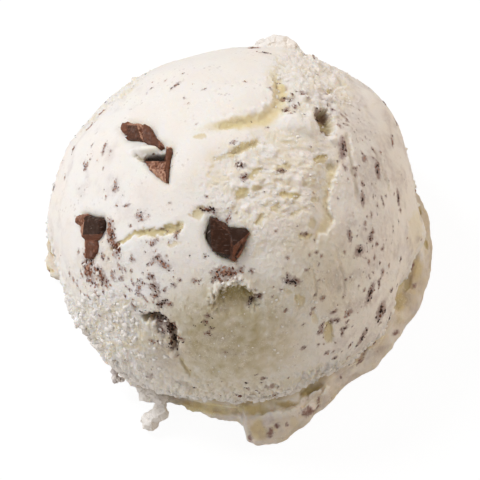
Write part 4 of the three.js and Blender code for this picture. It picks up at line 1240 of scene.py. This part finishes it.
def add_mix(tree, factor, first, second):
    """A colour mix of two colours or colour sockets; returns its result."""
    node = tree.nodes.new("ShaderNodeMix")
    node.data_type = "RGBA"
    sockets = [socket for socket in node.inputs if socket.type == "RGBA"]
    for socket, value in zip(sockets, (first, second)):
        if isinstance(value, bpy.types.NodeSocket):
            tree.links.new(value, socket)
        else:
            socket.default_value = (*value[:3], 1.0)
    if isinstance(factor, (int, float)):
        node.inputs[0].default_value = factor
    else:
        tree.links.new(factor, node.inputs[0])
    return next(socket for socket in node.outputs if socket.type == "RGBA")


def fine_grain(name):
    """Fine grain shared by the finishes: soft lumps and sharp grit, as one height."""
    group, start, end = new_group(name, (("Size", 1500.0), ("Grit", 0.5)), "Height")
    coordinates = group.nodes.new("ShaderNodeTexCoord").outputs["Object"]
    lumps = add_noise(group, coordinates, start.outputs["Size"], 3.0)
    finer = add_math(group, "MULTIPLY", start.outputs["Size"], 2.7)
    grit = add_noise(group, coordinates, finer, 2.0, 0.7)
    grit = add_math(group, "MULTIPLY", grit, start.outputs["Grit"])
    group.links.new(add_math(group, "ADD", lumps, grit), end.inputs["Height"])
    return group


def fine_specks(name):
    """Dots at cell centres where a slow noise allows them: the finest specks, and painted glints."""
    group, start, end = new_group(name, (("Size", 900.0), ("Amount", 0.5)), "Mask")
    coordinates = group.nodes.new("ShaderNodeTexCoord").outputs["Object"]
    cells = group.nodes.new("ShaderNodeTexVoronoi")
    group.links.new(coordinates, cells.inputs["Vector"])
    group.links.new(start.outputs["Size"], cells.inputs["Scale"])
    dots = add_range(group, cells.outputs["Distance"], 0.30, 0.12)
    patches = add_noise(group, coordinates, 260.0, 2.0)
    allowed = add_math(group, "ADD", patches, add_math(group, "MULTIPLY", start.outputs["Amount"], 0.4))
    allowed = add_range(group, allowed, 0.62, 0.78)
    group.links.new(add_math(group, "MULTIPLY", dots, allowed), end.inputs["Mask"])
    return group


def place_group(tree, builder, **values):
    """Puts a shared group, which is built once, into a material with the material's own values;
    returns its result."""
    name = builder.__name__
    node = tree.nodes.new("ShaderNodeGroup")
    node.node_tree = bpy.data.node_groups.get(name) or builder(name)
    set_inputs(node, values)
    return node.outputs[0]


def new_material(name):
    """An empty material with its Principled shader."""
    material = bpy.data.materials.new(name)
    material.use_nodes = True
    return material, material.node_tree, material.node_tree.nodes["Principled BSDF"]


def add_bump(tree, shader, height, distance, strength):
    """A Bump node between a height and the shader's normal."""
    bump = tree.nodes.new("ShaderNodeBump")
    set_inputs(bump, {"Distance": distance, "Strength": strength})
    tree.links.new(height, bump.inputs["Height"])
    tree.links.new(bump.outputs[0], shader.inputs["Normal"])


# ---- materials


def ice_cream_colour(tree, coordinates, colours, melted):
    """The colour of frozen cream, from the clean to the stained: clouds, painted yellow glow and
    painted shade in hollows, chocolate dust and specks, painted glints, and stains where chocolate
    lies under it."""
    clouds = add_range(tree, add_noise(tree, coordinates, 140.0, 3.0), 0.35, 0.65)
    clean = colours.cream
    if melted:
        clean = add_mix(tree, add_attribute(tree, "pale"), colours.melted, colours.cream)
    colour = add_mix(tree, clouds, clean, colours.cream_pink)
    # The yellow mask paints the glow of light through the cream in hollows, creases and shaded places, and
    # the hollow mask paints their shade with the deep colour.
    yellow = add_attribute(tree, "yellow")
    colour = add_mix(tree, multiply(tree, yellow, 0.8), colour, colours.hollow)
    deep = multiply(tree, add_attribute(tree, "hollow"), 0.62)
    colour = add_mix(tree, deep, colour, colours.deep)
    smear = add_attribute(tree, "smear")
    grainy = add_range(tree, add_noise(tree, coordinates, 1100.0, 3.0), 0.3, 0.7, 0.25, 0.75)
    colour = add_mix(tree, multiply(tree, smear, grainy), colour, colours.smear)
    specks = place_group(tree, fine_specks, Size=1100.0, Amount=0.35)
    speckled = multiply(tree, specks, add_range(tree, smear, 0.0, 0.6, 0.25, 0.6))
    colour = add_mix(tree, speckled, colour, colours.speck)
    # Painted glints: bright dots of the glint colour stand in for light glittering off ice crystals.
    sparkle = place_group(tree, fine_specks, Size=3400.0, Amount=0.45)
    colour = add_mix(tree, multiply(tree, sparkle, 0.6), colour, colours.crystal)
    mottle = add_math(tree, "SUBTRACT", add_noise(tree, coordinates, 2400.0, 3.0), 0.5)
    stain = add_math(tree, "ADD", add_attribute(tree, "stain"), multiply(tree, mottle, 1.3))
    stain = add_range(tree, stain, 0.1, 1.0, 0.0, 0.95 if melted else 0.7)
    return add_mix(tree, stain, colour, colours.stain)


def ice_cream_material(name, colours, light_inside, melted=False):
    """Frozen cream: dull where it is torn, faintly wet where the scoop pressed it and wetter where
    it has melted. `light_inside` says how much light its inside scatters."""
    known = bpy.data.materials.get(name)
    if known:
        return known
    material, tree, shader = new_material(name)
    coordinates = tree.nodes.new("ShaderNodeTexCoord").outputs["Object"]
    colour = ice_cream_colour(tree, coordinates, colours, melted)
    tree.links.new(colour, shader.inputs["Base Color"])
    glints = add_range(tree, add_noise(tree, coordinates, 3800.0, 1.0), 0.62, 0.72)
    rough = multiply(tree, add_attribute(tree, "rough"), 0.15)
    dull = add_math(tree, "SUBTRACT", add_math(tree, "ADD", rough, 0.42 if melted else 0.58),
                    multiply(tree, glints, 0.3))
    tree.links.new(dull, shader.inputs["Roughness"])
    grain = place_group(tree, fine_grain, Size=1900.0, Grit=0.8)
    torn = add_range(tree, add_attribute(tree, "rough"), 0.0, 0.7, 0.5, 1.0)
    grained = multiply(tree, grain, torn)
    add_bump(tree, shader, grained, 0.00015, 0.6 if melted else 1.0)
    set_inputs(shader, {
        "Subsurface Weight": light_inside, "Subsurface Radius": (1.0, 0.82, 0.6),
        "Subsurface Scale": 0.0016 if melted else 0.0011, "IOR": 1.34})
    return material


def chocolate_material(name, colours, cover):
    """Broken dark chocolate: dark glossy faces, brown broken ones, scratches, tan dust on
    edges, and as much ice cream film as `cover` says."""
    known = bpy.data.materials.get(name)
    if known:
        return known
    material, tree, shader = new_material(name)
    coordinates = tree.nodes.new("ShaderNodeTexCoord").outputs["Object"]
    tone = add_attribute(tree, "tone")
    speckle = add_noise(tree, coordinates, 2400.0, 3.0, 0.6)
    speckle = multiply(tree, add_math(tree, "SUBTRACT", speckle, 0.5), 0.22)
    tone = add_math(tree, "ADD", tone, speckle)
    ramp = tree.nodes.new("ShaderNodeValToRGB")
    stops = ((0.0, colours.darkest), (0.33, colours.dark), (0.6, colours.broken), (1.0, colours.dust))
    elements = ramp.color_ramp.elements
    while len(elements) < len(stops):
        elements.new(0.5)
    for element, (position, value) in zip(elements, stops):
        element.position = position
        element.color = (*value[:3], 1.0)
    tree.links.new(tone, ramp.inputs[0])
    film = add_range(tree, add_noise(tree, coordinates, 1300.0, 2.0), 0.5, 0.72)
    film = multiply(tree, film, add_range(tree, tone, 0.2, 0.6, 0.2 * cover, cover))
    colour = add_mix(tree, film, ramp.outputs[0], colours.film)
    stretched = tree.nodes.new("ShaderNodeMapping")
    set_inputs(stretched, {"Rotation": (0.4, 0.2, math.radians(-52)), "Scale": (1.0, 14.0, 1.0)})
    tree.links.new(coordinates, stretched.inputs["Vector"])
    scratches = add_range(tree, add_noise(tree, stretched.outputs[0], 520.0, 2.0), 0.62, 0.7)
    scratches = multiply(tree, scratches, add_range(tree, tone, 0.5, 0.3))
    broken_up = add_range(tree, add_noise(tree, coordinates, 1500.0, 2.0), 0.45, 0.6)
    scratches = multiply(tree, scratches, broken_up)
    colour = add_mix(tree, multiply(tree, scratches, 0.35), colour, colours.film)
    tree.links.new(colour, shader.inputs["Base Color"])
    tree.links.new(add_range(tree, tone, 0.2, 0.7, 0.3, 0.75), shader.inputs["Roughness"])
    set_inputs(shader, {"Specular IOR Level": 0.22, "IOR": 1.45})
    grain = place_group(tree, fine_grain, Size=2200.0, Grit=0.8)
    rugged = multiply(tree, grain, add_range(tree, tone, 0.25, 0.7, 0.2, 1.0))
    add_bump(tree, shader, rugged, 0.00018, 0.8)
    return material


def floor_material(stage):
    """A pale floor that lights the scoop from below, and that the camera sees as an even white
    with a faint shadow."""
    material, tree, shader = new_material("pale_floor")
    set_inputs(shader, {"Base Color": (0.8, 0.74, 0.66, 1.0), "Roughness": 0.9, "Specular IOR Level": 0.1})
    faint = tree.nodes.new("ShaderNodeBsdfDiffuse")
    faint.inputs["Color"].default_value = (0.09, 0.09, 0.09, 1.0)
    glow = tree.nodes.new("ShaderNodeEmission")
    set_inputs(glow, {"Color": (1.0, 1.0, 1.0, 1.0), "Strength": stage.floor_glow})
    both = tree.nodes.new("ShaderNodeAddShader")
    tree.links.new(faint.outputs[0], both.inputs[0])
    tree.links.new(glow.outputs[0], both.inputs[1])
    only_seen = tree.nodes.new("ShaderNodeMixShader")
    tree.links.new(tree.nodes.new("ShaderNodeLightPath").outputs["Is Camera Ray"], only_seen.inputs[0])
    tree.links.new(shader.outputs[0], only_seen.inputs[1])
    tree.links.new(both.outputs[0], only_seen.inputs[2])
    output = next(node for node in tree.nodes if node.type == "OUTPUT_MATERIAL")
    tree.links.new(only_seen.outputs[0], output.inputs["Surface"])
    return material


# ---- chunks


def seen_axes(axes, form):
    """How steps along a tangent plane's two axes are seen: a matrix that turns plane offsets
    into offsets to the right and up."""
    tilt = form.view_elevation
    view = np.array([[1.0, 0.0, 0.0], [0.0, math.sin(tilt), math.cos(tilt)]])
    return view @ axes[:2].T


def back_outline(sides, reach, number):
    """An uneven polygon: an ellipse's corners, each drawn nearer or farther."""
    angle = 2 * np.pi * np.arange(sides) / sides
    wave = np.sin((number * 31 + np.arange(sides)) * 12.9898 + 4.1) * 43758.5453
    uneven = 1 + BACK_CHUNK_UNEVEN * (2 * (wave - np.floor(wave)) - 1)
    return np.stack([reach[0] * np.cos(angle), reach[1] * np.sin(angle)], -1) * uneven[:, None]


def chunk_frames(form):
    """Every chunk with its middle on the dome, its axes, its outline in its tangent plane, its
    lobes and the matrix that turns plane offsets into the offsets that the lobes are given in."""
    chunks = []
    for chunk in CHUNKS:
        direction = direction_seen(chunk["right"], chunk["up"], form)
        axes = tangent_axes(direction, 0.0)
        turned = seen_axes(axes, form)
        outline = np.array(chunk["outline"]) @ np.linalg.inv(turned).T
        chunks.append((chunk["node"], direction, axes, outline, chunk["lobes"], chunk["depth"], turned))
    for number, chunk in enumerate(BACK_CHUNKS):
        direction = direction_at(chunk["polar"], chunk["azimuth"])
        axes = tangent_axes(direction, chunk["turn"])
        outline = back_outline(chunk["sides"], chunk["reach"], number + 1)
        chunks.append((chunk["node"], direction, axes, outline, BACK_LOBES, BACK_CHUNK_DEPTH, np.eye(2)))
    frames = []
    for node, direction, axes, outline, lobes, depth, turned in chunks:
        azimuth = math.degrees(math.atan2(direction[1], direction[0]))
        radius = dome_form(direction[None], np.array([azimuth]), form)[0]
        frames.append({
            "node": node, "middle": direction * radius, "axes": axes, "outline": outline,
            "lobes": lobes, "depth": depth, "turned": turned,
        })
    return frames


def broken_top(seen_offsets, lobes):
    """Height and tone of the broken top: the highest of the lobes, each the lowest of its
    facets, with dust along the creases where facets or lobes meet."""
    heights, tones, creases = [], [], []
    for lobe in lobes:
        planes = np.stack([
            height - fall_right * (seen_offsets[..., 0] - right) - fall_up * (seen_offsets[..., 1] - up)
            for right, up, height, fall_right, fall_up, _ in lobe])
        facet = np.argmin(planes, axis=0)
        ordered = np.sort(planes, axis=0)
        heights.append(ordered[0])
        tones.append(np.array([facet_values[5] for facet_values in lobe])[facet])
        creases.append(ordered[1] - ordered[0])
    heights, tones, creases = np.stack(heights), np.stack(tones), np.stack(creases)
    highest = np.argmax(heights, axis=0)[None]
    return [np.take_along_axis(values, highest, axis=0)[0] for values in (heights, tones, creases)]


def chunk_surface(chunk, count, seed):
    """A broken block from a disk grid: knots inside the outline carry its top, knots outside are
    brought to the outline and go down its sides, and the last ones close its bottom. Chips and
    crumbs roughen it more on the broken facets."""
    outline = chunk["outline"]
    out, azimuth = disk_grid(count)
    angle = np.radians(azimuth)
    centre = outline.mean(axis=0)
    reach = 1.3 * np.max(np.hypot(*(outline - centre).T))
    top_part = 0.93
    spread = np.minimum(out / top_part, 1.0) * reach
    x = centre[0] + spread * np.cos(angle)
    y = centre[1] + spread * np.sin(angle)
    flat = np.stack([x, y, x * 0], axis=-1)
    ragged = 0.3 * noise(flat, 0.9, 3, seed)
    away, near_x, near_y = outline_distance(x, y, outline)
    away = away + np.where(away > -0.5, ragged * smooth(-0.5, 0.0, away), 0.0)
    outside = away > 0
    slack = 0.1
    x = np.where(outside, near_x + slack * (x - near_x), x)
    y = np.where(outside, near_y + slack * (y - near_y), y)
    top, tone, crease = broken_top(np.stack([x, y], -1) @ chunk["turned"].T, chunk["lobes"])
    flat = np.stack([x, y, top * 0.5], axis=-1)
    broken = smooth(0.5, 0.8, tone)
    _, owner = nearest_seed(flat, 0.32, seed + 1)
    rugged = noise(flat, 0.45, 3, seed + 3)
    edge = smooth(-0.45, -0.05, away)
    dusty = np.exp(-((crease / 0.07) ** 2))
    top = top + (0.02 + 0.13 * broken + 0.05 * edge) * (0.7 * rugged + 0.8 * (owner - 0.5))
    top = top - 0.2 * smooth(-0.22, 0.02, away) ** 2
    down = np.clip(away / 0.9, 0.0, 1.0)
    z = top * (1 - down) - chunk["depth"] * down
    under = np.clip((out - top_part) / (1.0 - top_part), 0.0, 1.0)
    x = x + (centre[0] - x) * under * 0.9
    y = y + (centre[1] - y) * under * 0.9
    points = np.stack([x, y, z], axis=-1).reshape(-1, 3)
    crumbly = 0.12 + 0.88 * broken
    dusty = dusty * smooth(-0.1, 0.5, rugged) * (tone > 0.08)
    tone = tone + crumbly * (0.7 * (owner - 0.5) + 0.12 * rugged) + 0.15 * dusty
    world = points @ chunk["axes"] + chunk["middle"]
    return world, np.clip(tone.reshape(-1), 0, 1)


# ---- stage


def add_floor(stage):
    """A flat square floor under the scoop, which isn't part of it."""
    mesh = bpy.data.meshes.new("floor")
    corners = [(x * FLOOR_HALF, y * FLOOR_HALF, 0) for x, y in ((-1, -1), (1, -1), (1, 1), (-1, 1))]
    mesh.from_pydata(corners, [], [(0, 1, 2, 3)])
    mesh.materials.append(floor_material(stage))
    floor = bpy.data.objects.new("floor", mesh)
    bpy.context.collection.objects.link(floor)


def look_back(thing, middle, way, distance):
    """Puts a light or camera that far from a place, on the given way from it and facing it."""
    thing.location = middle + way * distance
    thing.rotation_euler = (-way).to_track_quat("-Z", "Y").to_euler()
    bpy.context.collection.objects.link(thing)


def surround_world(stage):
    """An even light from all round."""
    world = bpy.data.worlds.new("surround")
    world.use_nodes = True
    set_inputs(world.node_tree.nodes["Background"], {"Color": SURROUND_COLOUR, "Strength": stage.surround})
    return world


# ---- properties


def colour_property(name, description, default):
    """A colour."""
    return bpy.props.FloatVectorProperty(
        name=name, description=description, default=default, size=3, min=0.0, max=1.0, subtype="COLOR")


def length_property(name, description, default):
    """A length in metres."""
    return bpy.props.FloatProperty(
        name=name, description=description, default=default, unit="LENGTH", subtype="DISTANCE")


def angle_property(name, description, degrees):
    """An angle, kept in radians."""
    return bpy.props.FloatProperty(
        name=name, description=description, default=math.radians(degrees), subtype="ANGLE")


def power_property(name, description, default):
    """The power of a light in watts."""
    return bpy.props.FloatProperty(name=name, description=description, default=default, unit="POWER")


def strength_property(name, description, default):
    """A strength, as a plain number."""
    return bpy.props.FloatProperty(name=name, description=description, default=default)


def count_property(name, description, default, least=0):
    """How many there are."""
    return bpy.props.IntProperty(name=name, description=description, default=default, min=least)


class ScoopForm(bpy.types.PropertyGroup):
    """Sizes of the scoop"""

    dome_radius: length_property("Dome radius", "Radius of the round scoop that pressed the dome", 0.0288)
    centre_height: length_property("Centre height", "Height of the dome's middle over the base", 0.014)
    rim_polar: angle_property("Rim angle", "Angle from straight up at which the dome ends", 104)
    view_elevation: angle_property("View elevation", "How far above level the camera looks from", 65)
    tear_depth: length_property("Tear depth", "Depth of the torn hollows", 0.0005)
    ledge_depth: length_property("Ledge depth", "Height of a step between torn layers", 0.00012)
    crater_depth: length_property("Crater depth", "Depth of the crater under its brow", 0.0017)
    socket_depth: length_property("Socket depth", "How far the dome is cut back under a chunk", 0.0022)
    streak_depth: length_property("Streak depth", "Height of the streaks that the scoop drew", 0.0001)
    grain_height: length_property("Grain height", "Height of the pressed skin's fine grain", 0.00016)
    crumb_relief: length_property("Crumb relief", "Height of the crumbs on torn ice cream", 0.00036)
    knots: count_property("Knots", "Knots along each side of the dome's grid", 520, least=40)


class IceCreamColours(bpy.types.PropertyGroup):
    """Colours of the ice cream"""

    cream: colour_property("Cream", "Clean ice cream", (0.88, 0.84, 0.785))
    cream_pink: colour_property("Warm cream", "Ice cream in its warmer clouds", (0.88, 0.82, 0.75))
    melted: colour_property("Melted", "Half melted ice cream", (0.64, 0.55, 0.43))
    # Painted yellow glow of light through the cream, in hollows, creases, under the rim and in the warm
    # patches.
    hollow: colour_property("Hollow", "Wet ice cream down in a hollow", (0.76, 0.62, 0.28))
    deep: colour_property("Deep", "Ice cream in deep shadowed hollows", (0.34, 0.26, 0.1))
    smear: colour_property("Smear", "Ice cream with chocolate dust mixed in", (0.42, 0.33, 0.31))
    stain: colour_property("Stain", "Ice cream thinly over chocolate", (0.27, 0.15, 0.125))
    speck: colour_property("Speck", "The finest specks", (0.3, 0.2, 0.17))
    # Painted glints: the colour of the bright dots that stand in for glittering ice crystals.
    crystal: colour_property("Crystal", "Bright ice crystals", (1.0, 0.97, 0.9))


class ChocolateColours(bpy.types.PropertyGroup):
    """Colours of the chocolate"""

    # Also the painted shadow on the chunk facets and flecks whose tone is near 0.
    darkest: colour_property("Darkest", "Deep dark faces", (0.016, 0.009, 0.006))
    dark: colour_property("Dark", "Smooth dark faces", (0.05, 0.021, 0.012))
    broken: colour_property("Broken", "Broken red-brown faces", (0.23, 0.09, 0.05))
    dust: colour_property("Dust", "Dusty crumbling edges", (0.58, 0.33, 0.22))
    film: colour_property("Film", "Ice cream smeared over chocolate", (0.5, 0.4, 0.36))


class CrumbSettings(bpy.types.PropertyGroup):
    """Numbers of scattered things"""

    flecks_behind: count_property("Flecks behind", "Flecks drawn over the back", 420)
    crumbs: count_property("Crumbs", "Crumbs of ice cream on the torn places", 1200)
    rim_crumbs: count_property("Rim crumbs", "Crumbs along the ragged edges", 1100)


class StageSettings(bpy.types.PropertyGroup):
    """The camera's view and the lights"""

    view_width: length_property("View width", "Width of the view at the dome's middle", 0.0768)
    camera_distance: length_property("Camera distance", "From the camera to the dome's middle", 0.9)
    key_power: power_property("Key power", "Power of the large soft light", 2.12)
    fill_power: power_property("Fill power", "Power of the weak fill light", 1.9)
    side_power: power_property("Side power", "Power of the faint light from the left", 1.0)
    surround: strength_property("Surround", "Strength of the even light from all round", 0.19)
    floor_glow: strength_property("Floor glow", "How far the floor is lifted to even white", 0.94)


# ---- operators


class ScoopOperator:
    """What every operator here shares."""

    bl_options = {"REGISTER", "UNDO"}


class SCOOP_OT_dome(ScoopOperator, bpy.types.Operator):
    """Build the dome of ice cream with its folds, tears and ragged edge"""

    bl_idname = "scoop.dome"
    bl_label = "Dome"

    def execute(self, context):
        form = context.scene.scoop_form
        out, azimuth = disk_grid(form.knots)
        part, azimuth = crowd_to_front(np.minimum(out / RIM_PART, 1.0), azimuth, FRONT_SHIFT)
        edge = rim_polar(azimuth, form)
        polar = 2.0 * np.degrees(np.arcsin(part * np.sin(np.radians(edge) / 2.0)))
        points, relief = dome_surface(direction_at(polar, azimuth), form)
        under = np.clip((out - RIM_PART) / (1.0 - RIM_PART), 0.0, 1.0)
        tuck_under(points, under, form)
        flat = points.reshape(-1, 3)
        flecks = fleck_places(form, context.scene.scoop_crumbs.flecks_behind)
        thinly = 0.75 + 0.25 * smooth(0.0, 14.0, flat[:, 0])
        masks = flat_masks({
            "hollow": relief.hollow, "yellow": relief.yellow, "rough": relief.rough,
            "stain": thinly * stain_mask(flat, *flecks[:4], STAIN_SPREAD),
            "smear": smear_mask(flat, form)}, 1)
        middle = np.array([[0.0, 0.0, np.min(flat[:, 2])]])
        material = ice_cream_material("frozen_cream", context.scene.ice_cream_colours, 0.6)
        dome = new_piece("dome", place(np.concatenate([flat, middle])), disk_faces(form.knots), masks,
                         material, ("ice_cream",))
        thin_out(dome, MOST_TRIANGLES)
        return {"FINISHED"}


class SCOOP_OT_skirt(ScoopOperator, bpy.types.Operator):
    """Build the skirt of squeezed-out ice cream that the dome stands in"""

    bl_idname = "scoop.skirt"
    bl_label = "Skirt"

    def execute(self, context):
        form = context.scene.scoop_form
        columns, rows = SKIRT_COLUMNS, SKIRT_ROWS
        azimuth = np.arange(columns) * 360.0 / columns
        angle = np.radians(azimuth)
        part = np.linspace(0.0, 1.0, rows)
        radius, height = skirt_form(azimuth, part)
        floor = form.centre_height / MM
        plain = np.stack([radius * np.cos(angle), radius * np.sin(angle), height - floor], axis=-1)
        relief, stain, pale = skirt_relief(plain, angle, form)
        left = smooth(-0.2, 0.5, -np.cos(angle))[None]
        part = part[:, None]
        ragged = (0.14 + 0.3 * left) * noise(plain, 1.3, 3, 109) * smooth(0.5, 0.78, part)
        free = smooth(0.02, 0.12, part) * smooth(0.93, 0.84, part)
        height = np.maximum(height + relief.height * free * smooth(0.78, 0.55, part), 0.0)
        radius = radius + (0.6 * relief.height + ragged) * free * smooth(0.45, 0.7, part)
        points = np.stack([radius * np.cos(angle), radius * np.sin(angle), height - floor], axis=-1)
        flat = points.reshape(-1, 3)
        ends = np.array([[0.0, 0.0, flat[0, 2]], [0.0, 0.0, -floor]])
        rings = np.arange(columns)
        faces = [grid_faces(rows, columns, wrap=True)[:, ::-1],
                 fan_faces(rings, rows * columns)[:, ::-1],
                 fan_faces(rings + (rows - 1) * columns, rows * columns + 1)]
        drifts = 0.5 * smooth(0.0, 0.5, noise(plain, 3.0, 3, 127)) * (1.0 - 0.7 * left)
        blotches = 0.3 * smooth(0.0, 0.6, noise(plain, 2.2, 3, 129)) * (1.0 - 0.8 * left)
        # Painted yellow glow in the shade under the dome's rim; yellow blotches elsewhere.
        relief.tint(np.maximum(smooth(0.3, 0.1, part), blotches))
        masks = flat_masks({
            "hollow": relief.hollow, "yellow": relief.yellow, "rough": np.full(radius.shape, 0.15),
            "smear": np.maximum(drifts, 0.5 * stain), "stain": stain, "pale": pale}, len(ends))
        material = ice_cream_material("melted_cream", context.scene.ice_cream_colours, 0.8, melted=True)
        new_piece("skirt", place(np.concatenate([flat, ends])), faces, masks, material)
        return {"FINISHED"}


class SCOOP_OT_chunks(ScoopOperator, bpy.types.Operator):
    """Build the chunks of broken chocolate set into the dome"""

    bl_idname = "scoop.chunks"
    bl_label = "Chocolate chunks"

    def execute(self, context):
        form = context.scene.scoop_form
        material = chocolate_material("chocolate_chunk", context.scene.chocolate_colours, 0.15)
        faces = disk_faces(CHUNK_KNOTS)
        for number, chunk in enumerate(chunk_frames(form)):
            points, tone = chunk_surface(chunk, CHUNK_KNOTS, 200 + 20 * number)
            centre = chunk["outline"].mean(axis=0) @ chunk["axes"][:2] + chunk["middle"]
            bottom = centre - chunk["axes"][2] * chunk["depth"]
            points = np.concatenate([points, bottom[None]])
            new_piece(chunk["node"].replace("chunk", "chocolate"), place(points), faces,
                      {"tone": np.append(tone, 0.3)}, material, (chunk["node"],))
        return {"FINISHED"}


class SCOOP_OT_flecks(ScoopOperator, bpy.types.Operator):
    """Scatter the small flecks of chocolate that lie in the ice cream"""

    bl_idname = "scoop.flecks"
    bl_label = "Chocolate flecks"

    def execute(self, context):
        form = context.scene.scoop_form
        flecks = fleck_places(form, context.scene.scoop_crumbs.flecks_behind)
        direction, long, wide, turn, tone = fleck_bits(flecks, form)
        surface, _ = dome_surface(direction, form)
        thick = 0.1 + 0.3 * wide
        centres = surface - direction * 0.3 * thick[:, None]
        sizes = np.stack([long, wide, thick], axis=-1)
        points, faces, knots = many_lumps(centres, tangent_axes(direction, turn), sizes, 1, 0.6, 63)
        tones = np.repeat(tone, knots) + 0.25 * noise(points, 0.25, 1, 65)
        material = chocolate_material("chocolate_fleck", context.scene.chocolate_colours, 0.3)
        new_piece("flecks", place(points), [faces], {"tone": tones}, material,
                  round_faces=False)
        return {"FINISHED"}


class SCOOP_OT_crumbs(ScoopOperator, bpy.types.Operator):
    """Scatter crumbs of ice cream over the torn places and along the ragged edges"""

    bl_idname = "scoop.crumbs"
    bl_label = "Ice cream crumbs"

    def execute(self, context):
        form = context.scene.scoop_form
        settings = context.scene.scoop_crumbs
        torn = torn_crumbs(form, settings.crumbs)
        edge = rim_crumbs(form, settings.rim_crumbs)
        points = np.concatenate([torn[0], edge[0]])
        faces = np.concatenate([torn[1], edge[1] + len(torn[0])])
        material = ice_cream_material("crumbled_cream", context.scene.ice_cream_colours, 0.0)
        new_piece("crumbs", place(points), [faces], {}, material)
        return {"FINISHED"}


class SCOOP_OT_blobs(ScoopOperator, bpy.types.Operator):
    """Build the loose lumps on the top edge and under the ragged rim"""

    bl_idname = "scoop.blobs"
    bl_label = "Loose lumps"

    def execute(self, context):
        floor = context.scene.scoop_form.centre_height / MM
        azimuth, radius, height, size, smear = np.array(LOOSE_LUMPS).T
        angle = np.radians(azimuth)
        centres = np.stack([radius * np.cos(angle), radius * np.sin(angle), height - floor], axis=-1)
        axes = np.broadcast_to(np.eye(3), (len(centres), 3, 3))
        sizes = size[:, None] * (1.0, 1.0, 0.95)
        points, faces, knots = many_lumps(centres, axes, sizes, 5, 0.0, 73)
        shift = np.stack([noise(points, 1.5, 3, seed) for seed in (79, 80, 81)], axis=-1)
        outward = points - np.repeat(centres, knots, axis=0)
        outward /= np.linalg.norm(outward, axis=-1, keepdims=True)
        points += 0.35 * shift + outward * (0.1 * grains(points, 0.5, 82))[:, None]
        points[:, 2] = np.maximum(points[:, 2], LOWEST - floor)
        material = ice_cream_material("crumbled_cream", context.scene.ice_cream_colours, 0.0)
        new_piece("blobs", place(points), [faces], {"smear": np.repeat(smear, knots)}, material)
        return {"FINISHED"}


class SCOOP_OT_stage(ScoopOperator, bpy.types.Operator):
    """Set the pale floor, the soft lights and the camera above the front"""

    bl_idname = "scoop.stage"
    bl_label = "Floor, lights and camera"

    def execute(self, context):
        stage = context.scene.scoop_stage
        form = context.scene.scoop_form
        add_floor(stage)
        middle = Vector((DOME_AXIS[0] * MM, DOME_AXIS[1] * MM, form.centre_height))
        tilt = form.view_elevation
        view = Matrix((
            (1, 0, 0), (0, math.sin(tilt), math.cos(tilt)), (0, -math.cos(tilt), math.sin(tilt)),
        )).transposed()
        for name, way, distance, size, colour in LIGHTS:
            data = bpy.data.lights.new(name, "AREA")
            data.shape = "DISK"
            data.size = size
            data.energy = getattr(stage, f"{name}_power")
            data.color = colour
            look_back(bpy.data.objects.new(name, data), middle, view @ Vector(way).normalized(), distance)
        data = bpy.data.cameras.new("camera")
        data.sensor_fit = "HORIZONTAL"
        data.sensor_width = 36.0
        data.lens = data.sensor_width * stage.camera_distance / stage.view_width
        data.clip_end = 20.0
        camera = bpy.data.objects.new("camera", data)
        aim = middle + view @ Vector((AIM_RIGHT, AIM_UP, 0))
        look_back(camera, aim, view @ Vector((0, 0, 1)), stage.camera_distance)
        context.scene.camera = camera
        context.scene.world = surround_world(stage)
        context.scene.view_settings.view_transform = "Standard"
        context.scene.view_settings.look = "None"
        return {"FINISHED"}


class SCOOP_PT_panel(bpy.types.Panel):
    """The steps of the scoop, in order"""

    bl_label = "Ice cream scoop"
    bl_idname = "SCOOP_PT_panel"
    bl_space_type = "VIEW_3D"
    bl_region_type = "UI"
    bl_category = "Ice cream"

    def draw(self, context):
        for step in STEPS:
            self.layout.operator(step.bl_idname)


STEPS = (
    SCOOP_OT_dome, SCOOP_OT_skirt, SCOOP_OT_blobs, SCOOP_OT_crumbs, SCOOP_OT_chunks,
    SCOOP_OT_flecks, SCOOP_OT_stage,
)
GROUPS = {
    "scoop_form": ScoopForm,
    "ice_cream_colours": IceCreamColours,
    "chocolate_colours": ChocolateColours,
    "scoop_crumbs": CrumbSettings,
    "scoop_stage": StageSettings,
}


def register():
    for group in GROUPS.values():
        bpy.utils.register_class(group)
    for name, group in GROUPS.items():
        setattr(bpy.types.Scene, name, bpy.props.PointerProperty(type=group))
    for step in STEPS:
        bpy.utils.register_class(step)
    bpy.utils.register_class(SCOOP_PT_panel)


def unregister():
    bpy.utils.unregister_class(SCOOP_PT_panel)
    for step in reversed(STEPS):
        bpy.utils.unregister_class(step)
    for name in GROUPS:
        delattr(bpy.types.Scene, name)
    for group in reversed(GROUPS.values()):
        bpy.utils.unregister_class(group)


def main():
    register()
    for step in STEPS:
        family, name = step.bl_idname.split(".")
        getattr(getattr(bpy.ops, family), name)()


if __name__ == "__main__":
    main()
